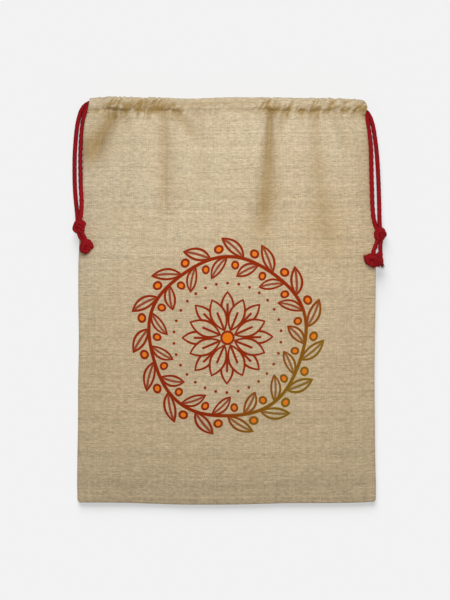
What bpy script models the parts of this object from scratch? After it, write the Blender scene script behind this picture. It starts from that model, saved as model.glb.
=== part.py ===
"""An empty drawstring sack of coarse plain-woven cloth, lying on its back.

Two panels are hemmed, turned and laid face to face. A casing is folded along
the top of each panel, and two cords run round through both casings, one out
of each side, with its two strands knotted together twice.

+X is to the right, +Y to the mouth and +Z up out of the front. The origin is
on the surface below the middle of the sack. Tables and sizes are millimetres.
"""

import math
from collections import namedtuple

import bmesh
import bpy
from mathutils import Matrix, Vector

MM = 0.001

# Cloth
CLOTH = 1.0  # thickness
TURN = 1.2  # radius of a turned edge, over the outside of the cloth
TURN_STEPS = 4
ALLOWANCE = 10.0  # cloth turned in at the sides and the bottom
MITRE = 0.6  # what is left of the allowance at a bottom corner
LAYER_GAP = 0.3  # between the two panels at the sides
SIDE_STACK = 4 * TURN + LAYER_GAP  # four layers at a side

# Casing
STITCH_DOWN = 14.5  # from the top edge to the line of stitches
HEM_DOWN = 17.5  # from the top edge to the raw edge inside
CASING_HALF = 3.75  # half the thickness of a casing with its cords
PINCH = 1.25  # half the thickness where both layers are stitched together
MOUTH_SIDE_GAP = 0.4  # between the casings at the sides
MOUTH_GAP = 5.6  # between the casings in the middle
MOUTH_ROLL = 60.0  # how far in from a side the mouth is fully open
SIDE_CASING = 3 * CASING_HALF + MOUTH_SIDE_GAP  # middle of the front casing, at a side
MIDDLE_CASING = 3 * CASING_HALF + MOUTH_GAP  # and in the middle of the mouth
SIDE_LIFT_FROM = 146.0  # y where the side seam begins to open for the cords
SIDE_LIFT_TO = 190.0  # y where the sides have risen to the casing
HEM_END = HEM_DOWN - STITCH_DOWN  # the turned-in sides end as far below the stitches

# Body
SIDE_ROLL = 46.0  # how far in from an edge the sack reaches its full depth
BOTTOM_ROLL = 52.0
MOUTH_LIFT_FROM = 40.0  # y where the sides begin to slope longer towards the mouth
MOUTH_LIFT_OVER = 120.0

# Cords
CORD = 4.5  # diameter of a cord
CORD_STEP = 11.6  # between the points of a cord's tube
TUBE_RESOLUTION = 2
KNOT_CORD = 4.3  # a cord pulled tight in a knot
KNOT_STEP = 1.6
KNOT_CORE = 0.7  # share of a knot's reach that its core fills
KNOT_VOXEL = 0.7
KNOT_FACES = 440

Edge = namedtuple("Edge", "y left right")
EDGES = [  # half the sack's width to each side
    Edge(-204.0, 149.2, 149.7),
    Edge(-190.0, 149.7, 149.8),
    Edge(-90.0, 149.8, 149.8),
    Edge(40.0, 149.4, 149.4),
    Edge(106.0, 144.7, 145.6),
    Edge(150.0, 142.2, 142.6),
    Edge(186.0, 140.6, 140.4),
    Edge(200.0, 139.6, 137.6),
    Edge(206.0, 138.6, 135.8),
]

End = namedtuple("End", "x bottom top")
ENDS = [  # the bottom and top edges across the sack
    End(-150.0, -202.6, 204.0),
    End(-132.0, -203.2, 204.9),
    End(-70.0, -204.3, 204.9),
    End(0.0, -205.1, 204.3),
    End(80.0, -205.0, 203.7),
    End(132.0, -204.3, 203.2),
    End(150.0, -203.4, 201.6),
]

Crown = namedtuple("Crown", "y middle")
CROWN = [  # height of the front's outside along the middle of the sack
    Crown(-204.0, 10.2),
    Crown(-120.0, 10.6),
    Crown(0.0, 11.8),
    Crown(80.0, 13.8),
    Crown(140.0, 16.6),
    Crown(190.0, MIDDLE_CASING + PINCH),
]

# A valley in the front: three places along it, its width at the top and the
# foot, and its depth. Valleys are steep to the left and run out to the right.
Fold = namedtuple("Fold", "top middle foot top_width foot_width depth")
FRONT_FOLDS = [
    Fold((-109, 194), (-129, 166), (-140, 118), 11, 18, 3.0),  # into the left corner
    Fold((-59, 190), (-64, 130), (-70, 56), 6, 10, 1.5),
    Fold((-55, 190), (-41, 171), (-31, 152), 6, 7, 1.2),
    Fold((-26, 188), (-25, 160), (-20, 96), 8, 12, 0.8),
    Fold((43, 190), (38, 120), (28, -6), 7, 15, 2.6),  # the main valley
    Fold((58, 190), (55, 181), (50, 168), 6, 7, 1.3),
    Fold((92, 190), (89, 120), (104, 6), 10, 18, 1.9),
    Fold((108, 188), (117, 172), (127, 150), 6, 7, 1.3),
    Fold((-96, 190), (-99, 150), (-104, 60), 10, 18, 1.0),
]
FRONT_RIDGES = [
    Fold((-1, 196), (14, 140), (22, 60), 22, 26, -1.3),
    Fold((69, 192), (66, 140), (62, 70), 14, 22, -0.9),
    Fold((-84, 192), (-86, 150), (-88, 80), 12, 18, -0.8),
]
BACK_LIFTS = [  # where the back stands off the surface below the mouth
    Fold((-92, 188), (-95, 168), (-99, 140), 12, 16, 1.8),
    Fold((-34, 188), (-31, 166), (-27, 138), 12, 18, 2.2),
    Fold((40, 188), (37, 168), (35, 142), 10, 14, 1.6),
    Fold((97, 188), (99, 166), (104, 139), 12, 16, 1.9),
    Fold((-10, 150), (-7, 60), (-2, -70), 22, 30, 1.4),  # a long low one down the middle
]
FOLD_LEFT = 0.42  # a fold's reach to its left, as a share of its width
FOLD_RIGHT = 0.72
FOLD_FADE = 38.0  # how far a fold takes to run out at its foot
FOLD_AT_STITCH = 0.35  # share of a fold's depth at the stitches
FOLD_RISE = 14.0  # how far below the stitches it is at full depth
FRONT_SEAM = 5.0  # width at the sides that the front's folds leave flat
BACK_SEAM = 14.0
FOLD_CLEAR = 14.0  # how far in from there a fold is at full depth

# Columns across a panel, in from a side: the first few stand at the mitre.
MITRE_COLUMNS = [0.0, 2.0, 12.0]
Panel = namedtuple("Panel", "name front middle_columns body_rows")
PANELS = [  # body_rows are above the bottom edge
    Panel("front_panel", True, 44,
          [0, 11, 26, 52, 90, 135, 180, 220, 252, 279, 303, 324, 342, 358, 373, 386]),
    Panel("back_panel", False, 26, [0, 11, 40, 110, 200, 270, 310, 340, 364, 386]),
]

# The casing's section: how far below the top edge, and how far out of its
# middle as a share of CASING_HALF. It runs over the cords and back inside.
Section = namedtuple("Section", "down out")
STITCHED = PINCH / CASING_HALF
TOP_FOLD_ROW = 5  # the last row on the outside
CASING = [
    Section(STITCH_DOWN, STITCHED),
    Section(12.4, 0.72),
    Section(9.4, 1.0),
    Section(4.6, 1.0),
    Section(1.5, 0.84),
    Section(0.0, 0.32),
    Section(0.0, -0.32),
    Section(1.5, -0.84),
    Section(4.6, -1.0),
    Section(9.4, -1.0),
    Section(12.4, -0.72),
    Section(STITCH_DOWN, -STITCHED),
    Section(HEM_DOWN, -STITCHED),
]

Wave = namedtuple("Wave", "length start height")
RUFFLES = [  # how the gathered casing swells along the mouth
    Wave(27.0, 0.7, 0.5),
    Wave(18.0, 2.6, 0.5),
]
RUFFLE_OUT = 0.7  # greatest swell of the front casing
RUFFLE_TOP = 0.35  # how far the mouth's edge wanders

# Each cord's route, from its first knot up, through the front casing, round at
# the far side, back through the back casing and down to the knot again.
CORD_LEFT = [
    (-147.6, 84.6, 8.6), (-148.3, 91.0, 6.6), (-148.6, 99.0, 3.4), (-147.6, 110.0, 2.5),
    (-146.6, 127.0, 2.5), (-146.1, 144.0, 2.6), (-145.6, 160.0, 3.6), (-145.4, 174.0, 6.2),
    (-145.0, 186.0, 9.2), (-142.4, 195.2, 11.0), (-137.0, 199.8, 11.7), (-130.0, 200.9, 12.05),
    (-116.0, 201.0, 13.5), (-104.0, 201.0, 15.05), (-92.0, 201.0, 16.3), (-78.0, 200.9, 16.85),
    (-40.0, 200.7, 16.85), (0.0, 200.3, 16.85), (40.0, 200.0, 16.85), (78.0, 199.7, 16.85),
    (92.0, 199.6, 16.3), (104.0, 199.6, 15.0), (116.0, 199.5, 13.45), (125.5, 199.4, 12.3),
    (128.9, 199.4, 11.0), (130.2, 199.4, 8.0), (128.9, 199.4, 5.0), (125.5, 199.4, 3.75),
    (110.0, 199.5, 3.75), (75.0, 199.7, 3.75), (35.0, 200.0, 3.75), (-5.0, 200.3, 3.75),
    (-45.0, 200.7, 3.75), (-85.0, 201.0, 3.75), (-115.0, 201.0, 3.75), (-134.0, 200.6, 3.75),
    (-141.8, 199.3, 3.6), (-147.2, 194.8, 3.2), (-149.8, 187.0, 2.6), (-150.6, 174.0, 2.4),
    (-151.6, 158.0, 2.4), (-152.8, 138.0, 2.4), (-153.3, 118.0, 2.4), (-153.2, 103.0, 2.6),
    (-152.9, 93.0, 4.2), (-152.4, 84.6, 5.6),
]
CORD_RIGHT = [
    (151.4, 75.8, 4.6), (151.0, 84.0, 2.9), (149.8, 98.0, 2.4), (148.4, 118.0, 2.4),
    (146.9, 138.0, 2.5), (145.9, 155.0, 3.0), (145.1, 170.0, 5.2), (144.2, 181.0, 8.2),
    (142.2, 189.6, 10.6), (137.8, 193.4, 11.6), (130.0, 194.3, 12.0), (116.0, 194.6, 13.45),
    (104.0, 194.7, 15.0), (92.0, 194.7, 16.3), (78.0, 194.8, 16.85), (40.0, 195.1, 16.85),
    (0.0, 195.4, 16.85), (-40.0, 195.8, 16.85), (-78.0, 196.0, 16.85), (-92.0, 196.1, 16.3),
    (-104.0, 196.1, 15.05), (-116.0, 196.1, 13.5), (-125.5, 196.1, 12.35), (-128.9, 196.1, 11.0),
    (-130.2, 196.1, 8.0), (-128.9, 196.1, 5.0), (-125.5, 196.1, 3.75), (-110.0, 196.1, 3.75),
    (-75.0, 196.0, 3.75), (-35.0, 195.7, 3.75), (5.0, 195.4, 3.75), (45.0, 195.1, 3.75),
    (85.0, 194.8, 3.75), (115.0, 194.6, 3.75), (134.0, 194.1, 3.75), (141.4, 192.6, 3.6),
    (146.6, 187.6, 3.1), (149.6, 179.0, 2.6), (151.0, 165.0, 2.4), (152.2, 146.0, 2.4),
    (153.2, 122.0, 2.4), (154.4, 98.0, 2.4), (155.6, 84.0, 3.2), (156.2, 75.8, 4.4),
]

# The doubled cord's way through a knot, in shares of its reach: down the
# middle, round over the front, behind, and out below through its own loop.
KNOT_WAY = [
    (0.10, 0.95, 0.05), (0.12, 0.45, -0.15), (0.05, -0.45, -0.25), (-0.55, -0.85, 0.05),
    (-0.95, -0.15, 0.45), (-0.35, 0.55, 0.85), (0.60, 0.65, 0.55), (0.95, 0.10, -0.25),
    (0.30, -0.35, -0.85), (-0.55, -0.25, -0.75), (-0.65, 0.20, -0.05), (-0.05, -0.10, 0.65),
    (0.35, -0.65, 0.45), (0.25, -0.95, 0.05),
]
Knot = namedtuple("Knot", "name centre reach lean turn")
KNOTS = [
    Knot("knot_left", (-149.7, 74.4, 8.7), (5.9, 6.0, 2.9), -32, 6),
    Knot("knot_left_end", (-141.0, 55.0, 10.9), (5.6, 5.2, 3.0), -8, 38),
    Knot("knot_right", (155.2, 66.8, 4.9), (4.6, 6.0, 2.9), 0, -8),
    Knot("knot_right_end", (148.8, 39.0, 10.1), (7.0, 5.8, 2.9), 25, -36),
]
NECKS = {  # the two strands into each knot
    "knot_left": [
        [(-147.9, 83.5, 8.8), (-148.6, 80.6, 9.0), (-149.4, 77.6, 8.9)],
        [(-152.2, 83.6, 5.9), (-151.6, 80.6, 6.6), (-150.6, 77.6, 7.5)],
    ],
    "knot_left_end": [
        [(-149.8, 67.0, 8.3), (-147.8, 63.8, 9.2), (-144.4, 60.4, 10.8)],
        [(-146.2, 67.6, 10.9), (-144.0, 63.8, 11.4), (-141.6, 60.4, 11.8)],
    ],
    "knot_right": [
        [(151.5, 74.9, 4.8), (152.6, 71.6, 5.2), (154.0, 68.6, 5.1)],
        [(156.2, 74.9, 4.6), (156.0, 71.6, 4.9), (155.6, 68.6, 5.1)],
    ],
    "knot_right_end": [
        [(152.6, 59.6, 6.4), (150.6, 53.0, 8.6), (147.6, 45.6, 10.0), (147.2, 42.0, 10.2)],
        [(157.2, 59.2, 4.7), (156.4, 53.0, 5.4), (154.0, 45.6, 7.4), (152.6, 41.5, 8.6)],
    ],
}

CLOTH_COLOUR = (0.55, 0.43, 0.28)
CLOTH_ROUGHNESS = 0.92
CORD_COLOUR = (0.32, 0.012, 0.018)
CORD_ROUGHNESS = 0.7

# Worked out from the tables
WIDTH = max(edge.left + edge.right for edge in EDGES)
SIDE_TURNS = TURN_STEPS + 1  # the turned steps and the allowance's edge
BOTTOM_TURNS = TURN_STEPS + 1
LEFT_EDGE = [(edge.y, edge.left) for edge in EDGES]
RIGHT_EDGE = [(edge.y, edge.right) for edge in EDGES]
BOTTOM_EDGE = [(end.x, end.bottom) for end in ENDS]
TOP_EDGE = [(end.x, end.top) for end in ENDS]
CROWN_LINE = [(crown.y, crown.middle) for crown in CROWN]


def ease(share):
    """0 to 1 with soft ends."""
    share = min(max(share, 0.0), 1.0)
    return share * share * (3.0 - 2.0 * share)


def through(rows, place):
    """A smooth curve through a table's (place, value) rows."""
    place = min(max(place, rows[0][0]), rows[-1][0])
    i = 0
    while i < len(rows) - 2 and place > rows[i + 1][0]:
        i += 1
    before, start, end, after = (rows[max(0, min(len(rows) - 1, k))] for k in range(i - 1, i + 3))
    step = end[0] - start[0]
    share = (place - start[0]) / step
    leaving = (end[1] - before[1]) / (end[0] - before[0]) * step
    arriving = (after[1] - start[1]) / (after[0] - start[0]) * step
    return (
        start[1] * (2 * share**3 - 3 * share**2 + 1)
        + leaving * (share**3 - 2 * share**2 + share)
        + end[1] * (3 * share**2 - 2 * share**3)
        + arriving * (share**3 - share**2)
    )


def smooth_route(points, step):
    """Points at most about a step apart on a smooth curve through the given ones."""
    points = [Vector(point) for point in points]
    lengths = [0.0]
    for start, end in zip(points, points[1:]):
        lengths.append(lengths[-1] + (end - start).length)
    tables = [[(at, point[axis]) for at, point in zip(lengths, points)] for axis in range(3)]
    route = [points[0]]
    for start, end in zip(lengths, lengths[1:]):
        pieces = max(1, round((end - start) / step))
        for i in range(1, pieces + 1):
            at = start + (end - start) * i / pieces
            route.append(Vector([through(table, at) for table in tables]))
    return route


def inward(x, y):
    """How far a place is from the nearer side of the sack."""
    return min(through(LEFT_EDGE, y) + x, through(RIGHT_EDGE, y) - x)


def side_height(y):
    """The front's outside at the sides: four layers, opening to the casing."""
    lift = ease((y - SIDE_LIFT_FROM) / (SIDE_LIFT_TO - SIDE_LIFT_FROM))
    return SIDE_STACK + (SIDE_CASING + PINCH - SIDE_STACK) * lift


def fold_depth(fold, x, y, stitches):
    """How deep a fold is at a place."""
    line = sorted([(place[1], place[0]) for place in (fold.top, fold.middle, fold.foot)])
    if y < fold.foot[1]:
        return 0.0
    up = (y - fold.foot[1]) / (fold.top[1] - fold.foot[1])
    width = fold.foot_width + (fold.top_width - fold.foot_width) * min(up, 1.0)
    across = (x - through(line, y)) / width
    reach = FOLD_LEFT if across < 0 else FOLD_RIGHT
    fade = ease((y - fold.foot[1]) / FOLD_FADE)
    start = FOLD_AT_STITCH + (1 - FOLD_AT_STITCH) * ease((stitches - y) / FOLD_RISE)
    return fold.depth * fade * start * math.exp(-((across / reach) ** 2))


def plain_height(x, y):
    """The front's outside without its folds."""
    mouth = ease((y - MOUTH_LIFT_FROM) / MOUTH_LIFT_OVER)
    roll = SIDE_ROLL + (MOUTH_ROLL - SIDE_ROLL) * mouth
    bottom = through(BOTTOM_EDGE, x)
    share = ease(inward(x, y) / roll) * ease((y - bottom) / BOTTOM_ROLL)
    side = side_height(y)
    return side + (through(CROWN_LINE, y) - side) * share


def front_height(x, y):
    """The height of the front's outside."""
    stitches = through(TOP_EDGE, x) - STITCH_DOWN
    clear = ease((inward(x, y) - FRONT_SEAM) / FOLD_CLEAR)
    folds = sum(fold_depth(fold, x, y, stitches) for fold in FRONT_FOLDS + FRONT_RIDGES)
    return plain_height(x, y) - clear * folds


def back_height(x, y):
    """The height of the back's outside, flat on the surface but for its lifts."""
    stitches = through(TOP_EDGE, x) - STITCH_DOWN
    clear = ease((inward(x, y) - BACK_SEAM) / FOLD_CLEAR)
    return clear * sum(fold_depth(fold, x, y, stitches) for fold in BACK_LIFTS)


def collection(name):
    made = bpy.data.collections.new(name)
    bpy.context.scene.collection.children.link(made)
    return made


def material(name, colour, roughness):
    made = bpy.data.materials.new(name)
    made.use_nodes = True
    shader = made.node_tree.nodes["Principled BSDF"]
    shader.inputs["Base Color"].default_value = (*colour, 1.0)
    shader.inputs["Roughness"].default_value = roughness
    shader.inputs["Metallic"].default_value = 0.0
    return made


def add_object(name, data, parent_collection, finish):
    made = bpy.data.objects.new(name, data)
    parent_collection.objects.link(made)
    data.materials.append(finish)
    return made


def column_shares(middle_columns):
    """Places across a panel from 0 at the left to 1 at the right."""
    near = [place / WIDTH for place in MITRE_COLUMNS]
    first = near[-1]
    middle = [first + (1 - 2 * first) * i / middle_columns for i in range(1, middle_columns)]
    return near + middle + [1 - share for share in reversed(near)]


def ruffle(x):
    """-1 to 1 along the mouth."""
    return sum(wave.height * math.sin(2 * math.pi * x / wave.length + wave.start) for wave in RUFFLES)


def turned(step):
    """A turned edge's place in from its outermost line, and its depth."""
    angle = math.pi * step / TURN_STEPS
    return TURN - TURN * math.sin(angle), TURN - TURN * math.cos(angle)


def side_turn(column, across):
    """How a column is turned in at a side: (side, step, share of the allowance)."""
    if column < SIDE_TURNS:
        step = SIDE_TURNS - column
        return -1, min(step, TURN_STEPS), 1.0 if step > TURN_STEPS else 0.0
    if column >= SIDE_TURNS + across:
        step = column - SIDE_TURNS - across + 1
        return 1, min(step, TURN_STEPS), 1.0 if step > TURN_STEPS else 0.0
    return None


def allowance(along):
    """The turned-in cloth's width, mitred towards a bottom corner."""
    share = min(1.0, max(0.0, along / MITRE_COLUMNS[2]))
    return MITRE + (ALLOWANCE - MITRE) * share


def body_point(panel, share, turn, row):
    """A panel's grid point below the casing: (x, y, outside height, depth below it)."""
    middle_x = (share - 0.5) * WIDTH
    bottom = through(BOTTOM_EDGE, middle_x) + TURN
    stitches = through(TOP_EDGE, middle_x) - STITCH_DOWN
    depth = 0.0
    if row < BOTTOM_TURNS:
        step = BOTTOM_TURNS - row
        place, depth = turned(min(step, TURN_STEPS))
        y = bottom + place - TURN
        if step > TURN_STEPS:
            in_from_side = min(share, 1 - share) * WIDTH
            y += allowance(in_from_side - MITRE_COLUMNS[1])
    else:
        up = panel.body_rows[row - BOTTOM_TURNS]
        y = bottom + (stitches - HEM_END - bottom) * up / panel.body_rows[-1]
    left, right = through(LEFT_EDGE, y) - TURN, through(RIGHT_EDGE, y) - TURN
    x = share * (left + right) - left
    if turn:
        side, step, inside = turn
        place, depth = turned(step)
        x += side * (TURN - place - inside * allowance(up))
    height = front_height(x, y) if panel.front else back_height(x, y)
    return x, y, height, depth


def casing_point(panel, share, number):
    """A panel's grid point on the casing: (x, y, outside height, depth below it)."""
    section = CASING[number]
    middle_x = (share - 0.5) * WIDTH
    top = through(TOP_EDGE, middle_x)
    y = top - section.down
    left, right = through(LEFT_EDGE, y), through(RIGHT_EDGE, y)
    x = share * (left + right) - left
    if abs(section.out) == STITCHED:
        height = front_height(x, y) if panel.front else back_height(x, y)
        return x, y, height, 2 * PINCH if section.out < 0 else 0.0
    swell = ruffle(x)
    y += RUFFLE_TOP * swell * (1 - section.down / STITCH_DOWN)
    if panel.front:
        middle = plain_height(x, min(top - STITCH_DOWN, SIDE_LIFT_TO)) - PINCH
        height = middle + CASING_HALF * section.out
        if section.out > STITCHED:
            height += RUFFLE_OUT * (0.5 + 0.5 * swell)
    else:
        height = CASING_HALF * (1 - (1.0 if section.out > STITCHED else section.out))
    return x, y, height, 0.0


def panel_mesh(panel):
    """One hemmed panel: its outside as a grid, turned in at its edges."""
    shares = column_shares(panel.middle_columns)
    columns = len(shares) + 2 * SIDE_TURNS
    casing_row = BOTTOM_TURNS + len(panel.body_rows)
    rows = casing_row + len(CASING)

    bm = bmesh.new()
    bmesh.ops.create_grid(bm, x_segments=columns - 1, y_segments=rows - 1, size=1.0)
    place_of = {}
    for vert in bm.verts:
        column = round((vert.co.x + 1) / 2 * (columns - 1))
        row = round((vert.co.y + 1) / 2 * (rows - 1))
        place_of[vert] = column, row
        share = shares[min(max(column - SIDE_TURNS, 0), len(shares) - 1)]
        turn = side_turn(column, len(shares))
        if row >= casing_row:
            x, y, height, depth = casing_point(panel, share, row - casing_row)
        elif turn and row < BOTTOM_TURNS:
            x, y, height, depth = 0.0, 0.0, 0.0, 0.0  # a clipped corner, deleted below
        else:
            x, y, height, depth = body_point(panel, share, turn, row)
        vert.co = Vector((x, y, height - depth if panel.front else height + depth)) * MM

    def unwanted(face):
        """True where a corner is clipped, or a casing's inside stops short."""
        face_columns = [place_of[vert][0] for vert in face.verts]
        face_rows = [place_of[vert][1] for vert in face.verts]
        from_side = min(min(face_columns), columns - 1 - max(face_columns))
        if min(face_rows) < BOTTOM_TURNS:
            return from_side < SIDE_TURNS + 1
        if max(face_rows) >= casing_row:
            past_top = max(face_rows) > casing_row + TOP_FOLD_ROW
            return from_side < SIDE_TURNS + (len(MITRE_COLUMNS) if past_top else 0)
        return False

    bmesh.ops.delete(bm, geom=[face for face in bm.faces if unwanted(face)], context="FACES")
    if not panel.front:
        bmesh.ops.reverse_faces(bm, faces=bm.faces)
    mesh = bpy.data.meshes.new(panel.name)
    bm.to_mesh(mesh)
    bm.free()
    return mesh


def make_panel(panel, parts, finish):
    made = add_object(panel.name, panel_mesh(panel), parts, finish)
    solidify = made.modifiers.new("cloth thickness", "SOLIDIFY")
    solidify.thickness = CLOTH * MM
    solidify.offset = -1.0
    solidify.use_even_offset = True
    solidify.use_rim = True


def tube_curve(name, routes, diameter):
    """A round tube along each route."""
    curve = bpy.data.curves.new(name, "CURVE")
    curve.dimensions = "3D"
    curve.bevel_depth = diameter / 2 * MM
    curve.bevel_resolution = TUBE_RESOLUTION
    curve.use_fill_caps = True
    for route in routes:
        spline = curve.splines.new("POLY")
        spline.points.add(len(route) - 1)
        for point, place in zip(spline.points, route):
            point.co = (*(Vector(place) * MM), 1.0)
    return curve


def make_cord(name, route, parts, finish):
    curve = tube_curve(name, [smooth_route(route, CORD_STEP)], CORD)
    add_object(name, curve, parts, finish)


def knot_route(knot):
    """The doubled cord's way through one knot."""
    lean = Matrix.Rotation(math.radians(knot.lean), 3, "Y")
    turn = Matrix.Rotation(math.radians(knot.turn), 3, "Z")
    reach = Vector(knot.reach)
    return [
        Vector(knot.centre) + lean @ turn @ Vector([a * b for a, b in zip(place, reach)])
        for place in KNOT_WAY
    ]


def make_knot(knot, parts, finish):
    """One knot as a lumpy solid, with the short strands that lead to it."""
    routes = [smooth_route(route, KNOT_STEP) for route in [knot_route(knot), *NECKS[knot.name]]]
    curve = tube_curve(knot.name + " strands", routes, KNOT_CORD)
    strands = bpy.data.objects.new(knot.name + " strands", curve)
    parts.objects.link(strands)
    evaluated = strands.evaluated_get(bpy.context.evaluated_depsgraph_get())
    mesh = bpy.data.meshes.new_from_object(evaluated)
    bpy.data.objects.remove(strands)
    bm = bmesh.new()
    bm.from_mesh(mesh)
    bmesh.ops.remove_doubles(bm, verts=bm.verts, dist=0.01 * MM)
    core = Matrix.Translation(Vector(knot.centre) * MM) @ Matrix.Diagonal(
        (*(Vector(knot.reach) * KNOT_CORE * MM), 1.0)
    )
    bmesh.ops.create_icosphere(bm, subdivisions=2, radius=1.0, matrix=core)
    bm.to_mesh(mesh)
    bm.free()
    mesh.name = knot.name
    made = add_object(knot.name, mesh, parts, finish)
    merge = made.modifiers.new("pulled tight", "REMESH")
    merge.mode = "VOXEL"
    merge.voxel_size = KNOT_VOXEL * MM
    merge.adaptivity = 0.0
    soften = made.modifiers.new("soft lumps", "SMOOTH")
    soften.factor = 0.5
    soften.iterations = 2
    thin = made.modifiers.new("fewer faces", "DECIMATE")
    evaluated = made.evaluated_get(bpy.context.evaluated_depsgraph_get())
    faces = sum(len(face.vertices) - 2 for face in evaluated.data.polygons)
    thin.ratio = min(1.0, KNOT_FACES / faces)


def main():
    for old in list(bpy.data.objects):
        bpy.data.objects.remove(old)
    parts = collection("drawstring sack")
    cloth = material("burlap", CLOTH_COLOUR, CLOTH_ROUGHNESS)
    braid = material("red braid", CORD_COLOUR, CORD_ROUGHNESS)
    for panel in PANELS:
        make_panel(panel, parts, cloth)
    make_cord("cord_left", CORD_LEFT, parts, braid)
    make_cord("cord_right", CORD_RIGHT, parts, braid)
    for knot in KNOTS:
        make_knot(knot, parts, braid)


main()
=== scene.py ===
"""An empty drawstring sack of coarse plain-woven cloth, lying on its back.

Each panel is one cut of cloth, hemmed and folded over its cords. The cords are
braided, run round through both casings and end in two overhand knots.

Tables and sizes are millimetres; MM turns them into the frame's metres.
"""

import math
from collections import namedtuple

import bmesh
import bpy
import numpy as np
from mathutils import Matrix, Vector, noise


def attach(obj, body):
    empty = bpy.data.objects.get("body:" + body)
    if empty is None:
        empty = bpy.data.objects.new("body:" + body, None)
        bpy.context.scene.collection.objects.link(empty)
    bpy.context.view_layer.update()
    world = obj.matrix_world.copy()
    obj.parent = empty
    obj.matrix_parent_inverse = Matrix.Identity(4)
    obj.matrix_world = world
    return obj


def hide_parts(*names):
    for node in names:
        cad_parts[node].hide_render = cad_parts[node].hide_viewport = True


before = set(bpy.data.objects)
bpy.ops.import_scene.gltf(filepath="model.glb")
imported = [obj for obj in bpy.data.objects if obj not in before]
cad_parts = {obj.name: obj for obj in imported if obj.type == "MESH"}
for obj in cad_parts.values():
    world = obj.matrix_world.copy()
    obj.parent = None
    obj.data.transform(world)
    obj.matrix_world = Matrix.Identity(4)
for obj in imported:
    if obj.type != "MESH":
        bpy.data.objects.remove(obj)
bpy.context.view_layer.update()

MM = 0.001

# ---------------------------------------------------------------- the cloth

CLOTH = 0.85  # thickness
TURN = 1.27  # radius of a turned edge, over the outside of the cloth
TURN_STEPS = 6
CORNER_ROUND = 3.2  # radius of the bottom corners
ALLOWANCE = 10.0  # cloth turned in at the sides and the bottom
MITRE = 0.6  # what is left of it at a bottom corner
MITRE_RUN = 12.0  # over which it grows to its full width
SIDE_STACK = 5.1  # height of the front's outside at a side, over four layers

Edge = namedtuple("Edge", "y left right")
EDGES = [  # half the sack's width to each side
    Edge(-204.0, 150.6, 150.1),
    Edge(-188.0, 151.0, 150.3),
    Edge(-160.0, 150.8, 149.7),
    Edge(-120.0, 150.2, 149.3),
    Edge(-80.0, 150.0, 148.9),
    Edge(-40.0, 149.3, 149.3),
    Edge(0.0, 149.8, 149.9),
    Edge(34.0, 149.8, 150.2),
    Edge(60.0, 148.9, 150.2),
    Edge(75.0, 147.9, 149.3),
    Edge(90.0, 146.8, 147.3),
    Edge(108.0, 145.8, 145.6),
    Edge(130.0, 145.4, 144.6),
    Edge(150.0, 145.2, 143.8),
    Edge(168.0, 144.7, 141.9),
    Edge(176.0, 143.6, 140.3),
    Edge(183.0, 142.3, 139.2),
    Edge(188.0, 140.5, 139.3),
    Edge(192.0, 139.6, 140.6),
    Edge(197.0, 138.6, 139.9),
    Edge(205.0, 137.2, 135.6),
]
WIDTH = max(edge.left + edge.right for edge in EDGES)

End = namedtuple("End", "x bottom top")
ENDS = [  # the bottom and top edges across the sack
    End(-150.0, -203.7, 203.6),
    End(-128.0, -203.7, 204.6),
    End(-110.0, -203.9, 203.8),
    End(-97.0, -204.1, 203.3),
    End(-76.0, -204.9, 203.3),
    End(-46.0, -205.8, 202.6),
    End(3.0, -205.8, 204.1),
    End(34.0, -205.1, 203.8),
    End(64.0, -204.3, 203.2),
    End(104.0, -204.2, 202.8),
    End(132.0, -203.8, 202.5),
    End(150.0, -203.0, 201.2),
]

SIDE_LIFT_FROM, SIDE_LIFT_TO = 146.0, 190.0  # y where the sides rise to the casing
SIDE_ROLL, MOUTH_ROLL, BOTTOM_ROLL = 46.0, 60.0, 52.0  # from an edge to full depth
MOUTH_LIFT_FROM, MOUTH_LIFT_OVER = 40.0, 120.0

# The casing
STITCH_DOWN = 13.8  # from the top edge to the line of stitches
HEM_DOWN = 16.8  # from the top edge to the raw edge inside
CASING_HALF = 3.75  # half the thickness of a casing with its cords
PINCH = 1.25  # half the thickness where both layers are stitched together
SIDE_CASING = 3 * CASING_HALF + 0.4  # height of the front casing's middle, at a side
MIDDLE_CASING = 3 * CASING_HALF + 5.6  # and in the middle of the mouth
HEM_CLEAR = 8.0  # the inside layer stops this far short of the casing's ends

Crown = namedtuple("Crown", "y middle")
CROWN = [  # height of the front's outside along the middle of the sack
    Crown(-204.0, 10.2),
    Crown(-120.0, 10.6),
    Crown(0.0, 11.8),
    Crown(80.0, 13.8),
    Crown(140.0, 16.6),
    Crown(190.0, MIDDLE_CASING + PINCH),
]

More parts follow.
